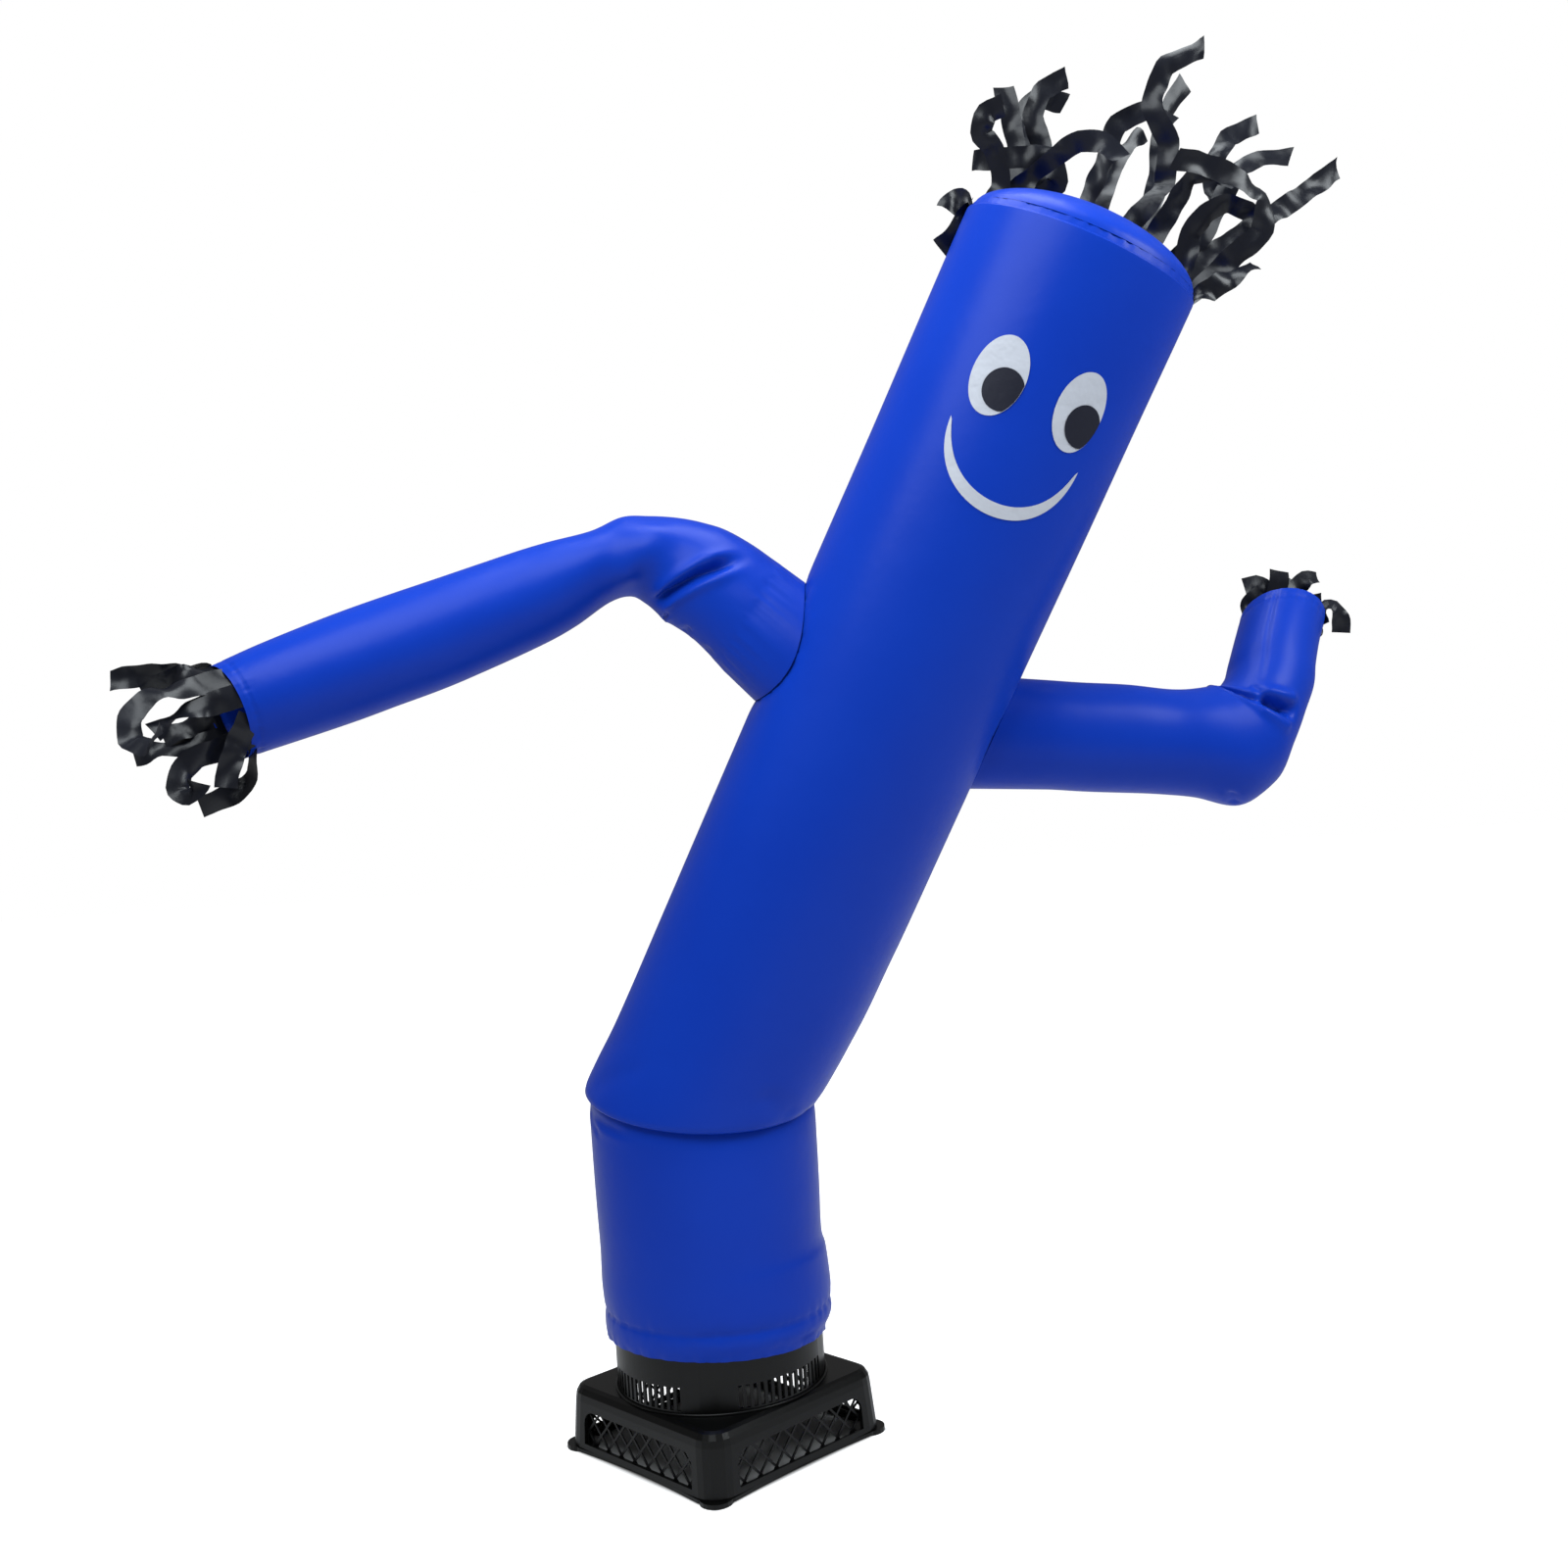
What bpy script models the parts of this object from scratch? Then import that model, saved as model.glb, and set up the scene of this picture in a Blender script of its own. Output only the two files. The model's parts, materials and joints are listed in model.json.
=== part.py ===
"""Inflatable air dancer with its blower: a cloth tube man bending over a square fan base.

Units are metres and +Z is up. The dancer faces -Y and leans towards +X.
Run with: blender --background --python part.py
"""
import math
from collections import namedtuple

import bmesh
import bpy
from mathutils import Matrix, Vector
from mathutils.bvhtree import BVHTree

# General sizes
CLOTH = 0.0015                 # thickness of the ripstop cloth skins
GAP = 0.0004                   # free space between neighbouring pieces
SEAM_GAP = 0.0011              # free space where a sleeve or patch follows the body's facets
ROOT_GAP = 0.0028              # free space between a sleeve's root and the body
BLOWER_AXIS = (-0.119, 0.046)  # the blower's axis in the part's frame, which centres the whole box
TUBE_SIDES = 32
SLEEVE_SIDES = 20

# Blower
HALF_SIDE = 0.1365             # half the housing's side at its foot
DRAFT = 0.0035                 # how much narrower each side is at the shoulder
HOUSING_YAW = 43.5             # degrees; a corner faces the viewer
CORNER_RADIUS = 0.028
EDGE_IN = 0.0105               # top edge rounding, inward
EDGE_DOWN = 0.016              # top edge rounding, downward
FOOT_HEIGHT = 0.0055
DECK_HEIGHT = 0.0765
SHELL = 0.003
SIDE_STEPS = 6                 # pieces that each straight side is divided into
DECK_HOLE = 0.116
COLLAR_RADIUS = 0.124
COLLAR_TOP = 0.160
WINDOW_HALF = 0.098
WINDOW_SILL = 0.0125
WINDOW_HEAD = 0.0515
WINDOW_RADIUS = 0.015
PAD_PLACE = 0.1715             # pad centres from the axis, along the diagonals
PAD_RADIUS = 0.0192
RAIL_OUT = 0.0018              # how far the foot rail stands out of the wall
RAIL_BOW = 0.0062              # how far the rail bows in at mid side
RAIL_WIDTH = 0.0125
RAIL_LIFT = 0.0012             # only the pads touch the floor
SLOT_BOTTOM = 0.0815
SLOT_TOP = 0.1075
SLOT_PITCH = 4.05              # degrees
SLOT_SHARE = 0.55              # open share of a pitch
SLOTS_A_GROUP = 15
SLOT_GROUPS = 4
FIRST_SLOT = 11.5              # degrees right of the viewer
BAR = 0.0021                   # grille bars
GRILLE_PITCH = 0.0335          # diamonds along the sill
GRILLE_RISE = 0.0180           # diamonds upwards
GRILLE_DEPTH = 0.0016
GRILLE_BORDER = 0.004
GRILLE_BACK = 0.0042           # from the wall's inner face to the middle of the grille
GRILLE_SMALLEST = 0.000012     # square metres; smaller cells stay filled
PAD_SHORT = 0.0002             # the pads' tops stay this much under the rail's

# Cloth details
ARM_HOLE_INSET = 0.007         # how much smaller than the sleeve the body's hole is
ARM_HOLE_REACH = 0.030         # how far its cutter runs to either side of the wall
DOME_RISE = 0.042              # height of the blown-up head panel
DOME_FOOT = 0.0009             # its edge above the head seam
DOME_FULLNESS = 2.2            # how late the dome's slope sets in
DOME_ROUNDNESS = 0.62          # under 1 makes its rim steep

# Sections of the cloth tubes. lean turns a ring's normal from +Z to +X, turn tips it to the
# viewer; across is its half width in the picture's plane and deep the one towards the viewer.
Section = namedtuple("Section", "x y z lean turn across deep")

BODY = [
    Section(-0.002, 0.000, 0.1340, 2.5, -2.0, 0.1298, 0.1294),    # hem edge, drawn in
    Section(-0.002, 0.000, 0.1420, 2.5, -2.0, 0.1315, 0.1318),
    Section(0.0010, 0.000, 0.1540, 2.0, -1.0, 0.1350, 0.1335),
    Section(0.0015, 0.000, 0.1690, 1.5, 0.0, 0.1346, 0.1328),     # hem stitch line
    Section(0.0015, 0.000, 0.1840, 1.0, 0.0, 0.1356, 0.1345),
    Section(0.0005, 0.000, 0.2050, 0.0, 0.0, 0.1354, 0.1346),
    Section(-0.0003, 0.000, 0.2260, 0.0, 0.0, 0.1342, 0.1342),
    Section(-0.002, 0.000, 0.2450, 0.0, 0.0, 0.1322, 0.1338),
    Section(-0.002, 0.000, 0.3000, 0.0, 0.0, 0.1332, 0.1335),
    Section(-0.002, 0.000, 0.3550, 1.0, 2.0, 0.1336, 0.1335),
    Section(-0.002, 0.000, 0.4000, 3.5, 6.0, 0.1334, 0.1325),
    Section(-0.003, 0.000, 0.4235, 5.5, 8.5, 0.1300, 0.1282),     # the kink's tucked crease
    Section(0.000, -0.001, 0.4185, 5.5, 8.5, 0.1388, 0.1380),     # lip hanging over it
    Section(0.0045, -0.001, 0.4260, 5.0, 8.0, 0.1424, 0.1402),
    Section(0.0195, -0.003, 0.4525, 4.8, 6.3, 0.1432, 0.1400),
    Section(0.0410, -0.008, 0.4890, 7.2, 5.5, 0.1408, 0.1380),
    Section(0.0663, -0.014, 0.5350, 12.6, 5.0, 0.1378, 0.1362),
    Section(0.1000, -0.0225, 0.6000, 19.5, 6.0, 0.1351, 0.1349),
    Section(0.1470, -0.034, 0.6900, 26.0, 6.3, 0.1344, 0.1344),
    Section(0.2605, -0.061, 0.9100, 27.3, 6.3, 0.1346, 0.1346),
    Section(0.3750, -0.0885, 1.1300, 27.3, 6.3, 0.1357, 0.1357),
    Section(0.4740, -0.112, 1.3200, 27.3, 6.3, 0.1362, 0.1362),
    Section(0.4845, -0.1145, 1.3400, 27.3, 6.3, 0.1350, 0.1350),
    Section(0.4886, -0.1155, 1.3480, 27.3, 6.3, 0.1322, 0.1322),  # head seam
]

LEFT_ARM = [
    Section(0.1180, -0.060, 0.9500, -60, 0, 0.0715, 0.0670),      # shoulder
    Section(0.0985, -0.058, 0.9695, -56, 0, 0.0680, 0.0640),
    Section(0.0675, -0.055, 1.0010, -53, 0, 0.0640, 0.0620),
    Section(0.0400, -0.052, 1.0210, -57, 2, 0.0625, 0.0605),
    Section(0.0215, -0.050, 1.0300, -63, 4, 0.0605, 0.0595),      # side of the elbow's deep fold
    Section(0.0030, -0.048, 1.0385, -73, 6, 0.0560, 0.0590),
    Section(-0.0210, -0.045, 1.0470, -85, 10, 0.0500, 0.0590),
    Section(-0.0450, -0.0455, 1.0520, -95, 13, 0.0455, 0.0585),
    Section(-0.0760, -0.050, 1.0420, -104, 15, 0.0420, 0.0580),   # elbow ridge
    Section(-0.1241, -0.057, 1.0230, -109, 16, 0.0505, 0.0570),
    Section(-0.1691, -0.066, 1.0060, -109, 16, 0.0552, 0.0570),
    Section(-0.2562, -0.090, 0.9747, -109, 16, 0.0596, 0.0590),
    Section(-0.3413, -0.113, 0.9469, -109, 17, 0.0600, 0.0590),
    Section(-0.4237, -0.138, 0.9185, -109, 19, 0.0574, 0.0570),
    Section(-0.4817, -0.157, 0.8975, -110, 36, 0.0531, 0.0545),   # open cuff
]

RIGHT_ARM = [
    Section(0.3850, -0.010, 0.8200, 97, 0, 0.0660, 0.0640),       # shoulder
    Section(0.4350, -0.008, 0.8150, 96, 0, 0.0648, 0.0640),
    Section(0.4739, -0.004, 0.8102, 96, 0, 0.0644, 0.0635),
    Section(0.5263, 0.003, 0.8045, 96, 0, 0.0640, 0.0630),
    Section(0.5786, 0.010, 0.7975, 96, 0, 0.0632, 0.0625),
    Section(0.6140, 0.012, 0.7940, 92, 0, 0.0655, 0.0625),
    Section(0.6490, 0.016, 0.7890, 80, -3, 0.0735, 0.0625),
    Section(0.6715, 0.022, 0.8010, 60, -8, 0.0700, 0.0610),
    Section(0.6870, 0.030, 0.8190, 42, -14, 0.0585, 0.0590),      # elbow
    Section(0.7015, 0.042, 0.8360, 24, -24, 0.0540, 0.0570),
    Section(0.7180, 0.058, 0.8580, 12, -34, 0.0535, 0.0550),
    Section(0.7278, 0.074, 0.8810, 9, -38, 0.0524, 0.0540),
    Section(0.7440, 0.100, 0.9120, 8, -41, 0.0519, 0.0535),
    Section(0.7608, 0.126, 0.9400, 8, -44, 0.0525, 0.0530),       # open cuff
]

HEAD_RADIUS = BODY[-3].across

# Creases pressed into a tube: at is the section's number, side and span are degrees round
# the ring, depth is inward, width is in sections and slant is sections per degree.
Crease = namedtuple("Crease", "at side depth width span slant")
BODY_CREASES = [
    Crease(11.0, -150, 0.0030, 0.8, 16, 0.0),
    Crease(3.0, 5, -0.0030, 1.2, 30, 0.0),
    Crease(12.5, 0, 0.0050, 1.1, 38, 0.0),
]
LEFT_CREASES = [
    Crease(4.0, -100, 0.0150, 0.75, 42, 0.012),
    Crease(8.0, -110, 0.0050, 0.70, 60, 0.010),
    Crease(4.0, -190, 0.0090, 0.70, 25, 0.0),
]
RIGHT_CREASES = [
    Crease(8.0, -110, 0.0180, 0.75, 26, 0.0),
    Crease(6.0, 0, 0.0060, 0.5, 40, 0.0),
]

# Face patches on the head: up is metres along the body's axis from the head seam, side is
# degrees round the tube from the front, both at the patch's middle.
Patch = namedtuple("Patch", "name up side tall wide tone")
FACE_TURN = 6.4
EYES = [
    Patch("eye_white_left", -0.1775, -20.5, 0.0445, 0.0305, "white"),
    Patch("eye_white_right", -0.1775, 20.5, 0.0445, 0.0305, "white"),
]
PUPILS = [
    Patch("pupil_left", -0.1895, -16.2, 0.0235, 0.0235, "black"),
    Patch("pupil_right", -0.1895, 24.8, 0.0235, 0.0235, "black"),
]
MOUTH_UP = -0.2325             # corners of the smile
MOUTH_DROP = 0.080
MOUTH_HALF_TURN = 33.3
MOUTH_THICK = 0.0145
PATCH = 0.0010

# Strips: root is the place round the seam in degrees; head is the first direction in the
# picture's plane from +Z towards +X, near tips it to the viewer, bend_1 to bend_3 turn it
# over each third of its length, twist turns the strip about its own line.
Strip = namedtuple("Strip", "root length head near bend_1 bend_2 bend_3 twist")
STRIP_WIDTH = 0.0235
STRIP_THICK = 0.0013
STRIP_STEPS = 7
BAND = 0.007                   # height of the backing that the strips are fused into
HAIR_OUT = 0.0050              # the hair's backing stands off the head seam
HAIR_LIFT = -0.004             # its lower edge, measured up from the seam
CUFF_LIFT = 0.0012             # the same for a cuff's backing
HAIR_FROM = -8.0
HAIR_TO = 188.0
HAIR_SEGMENTS = 21
HAIR = [
    Strip(174, 0.058, -160, -4, 10, 15, 15, 20),
    Strip(165, 0.045, 5, 20, -60, -60, -30, 30),
    Strip(155, 0.150, 85, 16, -65, -50, 130, 30),
    Strip(146, 0.195, 46, 11, 4, 14, 88, 40),
    Strip(137, 0.215, 50, 5, 8, -172, -9, 15),
    Strip(127, 0.190, 46, -3, -36, -5, -6, 60),
    Strip(118, 0.235, 38, -4, -20, -30, 90, 30),
    Strip(109, 0.285, 40, -18, -30, -30, 140, 30),
    Strip(99, 0.265, 46, -2, -16, -3, 105, 40),
    Strip(90, 0.230, 42, -17, -14, 0, 32, 20),
    Strip(81, 0.330, 44, 8, 0, -80, 110, 30),
    Strip(71, 0.295, 56, -10, -24, -20, 30, 50),
    Strip(62, 0.210, 41, 14, -6, 4, 107, 30),
    Strip(53, 0.285, 56, -7, -8, -52, 78, 40),
    Strip(43, 0.255, 52, -2, -12, -10, 77, 70),
    Strip(34, 0.300, 42, -14, 10, 8, -8, 40),
    Strip(25, 0.188, 21, 8, -6, 65, 120, 30),
    Strip(15, 0.265, 46, 15, 6, -132, -25, 50),
    Strip(-3, 0.085, 56, -10, 4, 4, 0, 60),
]
CUFF_SEGMENTS = 13
LEFT_FRINGE = [
    Strip(-166, 0.095, -192, 4, 32, 50, -2, 40),
    Strip(-138, 0.150, -116, 24, 6, -70, -180, 30),
    Strip(-111, 0.082, -155, 10, 0, -8, -8, 40),
    Strip(-83, 0.100, -110, 25, 5, -20, 0, 50),
    Strip(-55, 0.205, -103, 30, 0, -100, -150, 40),
    Strip(-27, 0.085, -86, 18, -14, -4, 0, 60),
    Strip(0, 0.108, -84, 10, -8, 2, -6, 50),
    Strip(83, 0.062, -100, 14, -5, -10, 0, 40),
    Strip(111, 0.100, -114, 16, 15, 0, -15, 60),
]
RIGHT_FRINGE = [
    Strip(166, 0.052, 20, -6, 0, 25, 20, 20),
    Strip(138, 0.105, 32, -14, 0, -24, -140, 30),
    Strip(111, 0.104, 26, -2, -2, -10, -8, 40),
    Strip(83, 0.108, 10, -18, 2, 8, 12, 20),
    Strip(55, 0.110, 9, -6, -4, 6, 94, 40),
    Strip(28, 0.063, 11, -20, 0, 0, -10, 30),
    Strip(0, 0.080, -50, -8, 85, 120, 20, 20),
]


def remove_startup_objects():
    """Empties the scene that Blender opens with."""
    for obj in list(bpy.context.scene.objects):
        bpy.data.objects.remove(obj, do_unlink=True)


def material(name, colour, roughness, metallic=0.0):
    """Makes one Principled material."""
    mat = bpy.data.materials.new(name)
    mat.use_nodes = True
    shader = mat.node_tree.nodes["Principled BSDF"]
    shader.inputs["Base Color"].default_value = (*colour, 1.0)
    shader.inputs["Roughness"].default_value = roughness
    shader.inputs["Metallic"].default_value = metallic
    mat.diffuse_color = (*colour, 1.0)
    return mat


def add_object(name, bm, mat, parent, smooth=True, settle=True):
    """Turns a bmesh into a named object under the part's empty."""
    if settle:
        bmesh.ops.recalc_face_normals(bm, faces=bm.faces)
    mesh = bpy.data.meshes.new(name)
    bm.to_mesh(mesh)
    bm.free()
    mesh.materials.append(mat)
    if smooth:
        mesh.shade_smooth()
        mesh.set_sharp_from_angle(angle=math.radians(40))
    obj = bpy.data.objects.new(name, mesh)
    bpy.context.scene.collection.objects.link(obj)
    obj.parent = parent
    return obj


def as_cutter(obj):
    """Marks an object as a tool that is no piece of the part."""
    obj.hide_render = True
    obj.display_type = "WIRE"
    return obj


def thicken(obj, thickness):
    """Gives an open skin its thickness, on its inner side."""
    wall = obj.modifiers.new("wall", "SOLIDIFY")
    wall.thickness = thickness
    wall.offset = -1.0
    return wall


def cut(obj, cutter):
    """Cuts one object with another, by Blender's exact solver."""
    hole = obj.modifiers.new("cut", "BOOLEAN")
    hole.operation = "DIFFERENCE"
    hole.solver = "EXACT"
    hole.object = cutter
    return hole


def ring_axes(section):
    """A section's normal, its direction across and its direction in depth."""
    lean, turn = math.radians(section.lean), math.radians(section.turn)
    normal = Vector((math.sin(lean) * math.cos(turn), -math.sin(turn), math.cos(lean) * math.cos(turn)))
    across = Vector((math.cos(lean), 0.0, -math.sin(lean)))
    return normal, across, normal.cross(across)


def crease_depth(creases, at, side):
    """How far the creases press a point of a tube inwards."""
    depth = 0.0
    for crease in creases:
        away = (side - crease.side + 180.0) % 360.0 - 180.0
        along = (at - crease.at - crease.slant * away) / crease.width
        depth += crease.depth * math.exp(-along * along - (away / crease.span) ** 2)
    return depth


def ring_points(section, sides, at=0, creases=(), grow=0.0):
    """The points of one section's ring."""
    _, across, deep = ring_axes(section)
    centre = Vector((section.x, section.y, section.z))
    points = []
    for i in range(sides):
        side = 360.0 * i / sides
        inward = crease_depth(creases, at, side) - grow
        angle = math.radians(side)
        points.append(centre + across * (section.across - inward) * math.cos(angle)
                      + deep * (section.deep - inward) * math.sin(angle))
    return points


def loft(rings):
    """Joins closed rings of points into an open tube."""
    bm = bmesh.new()
    rows = [[bm.verts.new(p) for p in ring] for ring in rings]
    sides = len(rows[0])
    for low, high in zip(rows, rows[1:]):
        for i in range(sides):
            j = (i + 1) % sides
            bm.faces.new((low[i], low[j], high[j], high[i]))
    return bm, rows


def tube_skin(name, sections, creases, sides, mat, parent, first_ring=None):
    """Makes a cloth tube from its table of sections."""
    rings = [ring_points(s, sides, n, creases) for n, s in enumerate(sections)]
    if first_ring:
        rings[0] = first_ring
    bm, _ = loft(rings)
    obj = add_object(name, bm, mat, parent)
    thicken(obj, CLOTH)
    return obj


def surface_of(obj):
    """A ray-castable copy of an object's own mesh, without its modifiers."""
    bm = bmesh.new()
    bm.from_mesh(obj.data)
    tree = BVHTree.FromBMesh(bm)
    bm.free()
    return tree


def sleeve_root(sections, sides, body_tree):
    """The ring where a sleeve meets the body, a seam's gap off the body's cloth."""
    start = ring_points(sections[1], sides)
    root = ring_points(sections[0], sides)
    ring = []
    for outer, inner in zip(start, root):
        direction = (inner - outer).normalized()
        hit, normal, _, _ = body_tree.ray_cast(outer, direction)
        if normal.dot(direction) > 0:
            normal = -normal
        ring.append(hit + normal * ROOT_GAP)
    return ring


def arm_hole(name, ring, sections, mat, parent):
    """A plug through the body's wall under a sleeve, a little smaller than the sleeve."""
    centre = sum(ring, Vector()) / len(ring)
    normal, _, _ = ring_axes(sections[0])
    outside, inside = [], []
    for point in ring:
        inner = point + (centre - point).normalized() * ARM_HOLE_INSET
        outside.append(inner + normal * ARM_HOLE_REACH)
        inside.append(inner - normal * ARM_HOLE_REACH)
    bm, rows = loft([inside, outside])
    bm.faces.new(list(reversed(rows[0])))
    bm.faces.new(rows[1])
    return as_cutter(add_object(name, bm, mat, parent, smooth=False))


def head_top(mat, parent):
    """The round panel that closes the head, blown up into a low dome."""
    seam = BODY[-1]
    normal, _, _ = ring_axes(seam)
    rings = []
    radius = seam.across - GAP
    for share in (1.0, 0.96, 0.86, 0.68, 0.44, 0.18):
        up = DOME_FOOT + DOME_RISE * (1.0 - share ** DOME_FULLNESS) ** DOME_ROUNDNESS
        flat = seam._replace(across=radius * share, deep=radius * share)
        rings.append([p + normal * up for p in ring_points(flat, TUBE_SIDES)])
    bm, rows = loft(rings)
    bm.faces.new(rows[-1])
    obj = add_object("head_top_panel", bm, mat, parent)
    thicken(obj, CLOTH)
    return obj


def on_head(up, side, off):
    """A place on the head tube: metres above the head seam along the axis, degrees from the front."""
    seam = BODY[-1]
    normal, across, deep = ring_axes(seam)
    angle = math.radians(side + FACE_TURN - 90.0)
    radius = HEAD_RADIUS + off
    centre = Vector((seam.x, seam.y, seam.z)) + normal * up
    return centre + across * radius * math.cos(angle) + deep * radius * math.sin(angle)


def sheet_patch(name, rows, closed, mat, parent):
    """Makes a thin patch from rows of points; a closed patch ends in a middle point."""
    bm = bmesh.new()
    lines = [[bm.verts.new(p) for p in row] for row in rows]
    for low, high in zip(lines, lines[1:]):
        count = len(low) if closed else len(low) - 1
        for i in range(count):
            j = (i + 1) % len(low)
            if len(high) == 1:
                bm.faces.new((low[i], low[j], high[0]))
            else:
                bm.faces.new((low[i], low[j], high[j], high[i]))
    bmesh.ops.recalc_face_normals(bm, faces=bm.faces)
    outward = on_head(0.0, 0.0, 1.0) - on_head(0.0, 0.0, 0.0)
    if bm.faces[:][0].normal.dot(outward) < 0:
        bmesh.ops.reverse_faces(bm, faces=bm.faces)
    obj = add_object(name, bm, mat, parent, settle=False)
    wall = thicken(obj, PATCH)
    wall.offset = 1.0
    return obj


def oval_patch(patch, off, mat, parent, points=16, inside=None):
    """An eye or pupil: an ellipse bent round the head, kept inside another patch's outline."""
    rows = []
    for share in (1.0, 0.6):
        row = []
        for i in range(points):
            angle = 2.0 * math.pi * i / points
            up = patch.up + patch.tall * share * math.sin(angle)
            side = patch.side + math.degrees(patch.wide * share * math.cos(angle) / HEAD_RADIUS)
            if inside:
                high = (up - inside.up) / inside.tall
                wide = math.radians(side - inside.side) * HEAD_RADIUS / inside.wide
                over = max(1.0, math.hypot(high, wide) / 0.96)
                up = inside.up + (up - inside.up) / over
                side = inside.side + (side - inside.side) / over
            row.append(on_head(up, side, off))
        rows.append(row)
    rows.append([on_head(patch.up, patch.side, off)])
    return sheet_patch(patch.name, rows, True, mat, parent)


def mouth_patch(mat, parent, steps=14):
    """The smile: a crescent bent round the head, as thick at its sides as in its middle."""
    rows = []
    for edge in (0.04, 0.5, 0.96):
        row = []
        for i in range(steps + 1):
            angle = math.pi * i / steps
            inward = MOUTH_THICK * (edge * math.sin(angle) ** 0.6 + (edge - 0.5) * 0.05)
            half_turn = MOUTH_HALF_TURN - math.degrees(inward / HEAD_RADIUS)
            drop = (MOUTH_DROP - inward) * math.sin(angle) - (edge - 0.5) * 0.0022
            row.append(on_head(MOUTH_UP - drop, -half_turn * math.cos(angle), SEAM_GAP))
        rows.append(row)
    return sheet_patch("mouth", rows, False, mat, parent)


def strip_line(strip, start):
    """The points and directions along one ribbon, from its root's middle."""
    turns = (strip.bend_1, strip.bend_2, strip.bend_3)
    step = strip.length / STRIP_STEPS
    heading, place, line = strip.head, Vector(start), []
    for n in range(STRIP_STEPS):
        third = min(2, int(3.0 * n / STRIP_STEPS))
        heading += turns[third] * 3.0 / STRIP_STEPS
        lean, near = math.radians(heading), math.radians(strip.near)
        direction = Vector((math.sin(lean) * math.cos(near), -math.sin(near), math.cos(lean) * math.cos(near)))
        place = place + direction * step
        line.append((place.copy(), direction))
    return line


def grow_strip(bm, quad, strip):
    """Grows one ribbon out of a face of its band: quad is its corners, wide side first."""
    a, b, c, d = quad
    start = (a.co + b.co + c.co + d.co) / 4.0
    side = (b.co - a.co).normalized()
    hand = None
    ring = list(quad)
    for n, (place, direction) in enumerate(strip_line(strip, start)):
        share = (n + 1) / STRIP_STEPS
        flat = (side - direction * side.dot(direction)).normalized()
        side = Matrix.Rotation(math.radians(strip.twist) / STRIP_STEPS, 3, direction) @ flat
        thick = direction.cross(side).normalized()
        if hand is None:
            hand = -1.0 if thick.dot(d.co - a.co) < 0 else 1.0
        across = side * (STRIP_WIDTH / 2.0 * (1.0 - 0.25 * share ** 3))
        depth = thick * (hand * STRIP_THICK / 2.0)
        corners = (place - across - depth, place + across - depth,
                   place + across + depth, place - across + depth)
        new = [bm.verts.new(corner) for corner in corners]
        for i in range(4):
            j = (i + 1) % 4
            bm.faces.new((ring[i], ring[j], new[j], new[i]))
        ring = new
    bm.faces.new(ring)


def fringe(name, edge, off, segments, first, last, strips, lift, mat, parent):
    """Strips fused at their roots into a narrow band that follows a seam or a cuff."""
    normal, _, _ = ring_axes(edge)
    closed = last - first >= 360.0
    count = segments if closed else segments + 1
    bm = bmesh.new()
    columns = []
    for i in range(count):
        angle = first + (last - first) * i / segments
        column = []
        for up, out in ((lift, off), (lift, off + STRIP_THICK),
                        (lift + BAND, off), (lift + BAND, off + STRIP_THICK)):
            ring = ring_place(edge, angle, out) + normal * up
            column.append(bm.verts.new(ring))
        columns.append(column)
    roots = {}
    for strip in strips:
        place = (strip.root - first) % 360.0 / (last - first) * segments
        roots[int(place) % segments] = strip
    for n in range(segments):
        one, two = columns[n], columns[(n + 1) % count]
        bm.faces.new((one[0], two[0], two[1], one[1]))
        bm.faces.new((one[0], one[2], two[2], two[0]))
        bm.faces.new((one[1], two[1], two[3], one[3]))
        if n in roots:
            grow_strip(bm, (one[2], two[2], two[3], one[3]), roots[n])
        else:
            bm.faces.new((one[2], one[3], two[3], two[2]))
    if not closed:
        for column in (columns[0], columns[-1]):
            bm.faces.new((column[0], column[1], column[3], column[2]))
    return add_object(name, bm, mat, parent, smooth=False)


def ring_place(section, angle, out):
    """A place on a section's ring, moved out of it."""
    _, across, deep = ring_axes(section)
    turn = math.radians(angle)
    return (Vector((section.x, section.y, section.z)) + across * (section.across + out) * math.cos(turn)
            + deep * (section.deep + out) * math.sin(turn))


def rounded_square(half, radius, z, arc_steps=5, side_steps=1):
    """The points of a square with round corners at one height."""
    points = []
    for quarter in range(4):
        centre = Matrix.Rotation(quarter * math.pi / 2.0, 3, "Z") @ Vector((half - radius, half - radius, 0.0))
        for i in range(arc_steps + 1):
            angle = quarter * math.pi / 2.0 + math.pi / 2.0 * i / arc_steps
            points.append(centre + Vector((radius * math.cos(angle), radius * math.sin(angle), z)))
        last, after = points[-1], Matrix.Rotation(math.pi / 2.0, 3, "Z") @ points[-arc_steps - 1]
        for i in range(1, side_steps):
            points.append(last.lerp(after, i / side_steps))
    return points


def window_cutter(name, mat, parent):
    """A bar with the windows' arched section, run through two opposite walls."""
    low, high, half, radius = WINDOW_SILL, WINDOW_HEAD, WINDOW_HALF, WINDOW_RADIUS
    outline = [(-half, low), (half, low)]
    for centre, begin in ((half - radius, 0.0), (-half + radius, 90.0)):
        for i in range(5):
            angle = math.radians(begin + 22.5 * i)
            outline.append((centre + radius * math.cos(angle), high - radius + radius * math.sin(angle)))
    reach = HALF_SIDE + 0.02
    bm, rows = loft([[Vector((x, reach, z)) for x, z in outline], [Vector((x, -reach, z)) for x, z in outline]])
    bm.faces.new(rows[0])
    bm.faces.new(rows[1])
    return as_cutter(add_object(name, bm, mat, parent, smooth=False))


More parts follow.
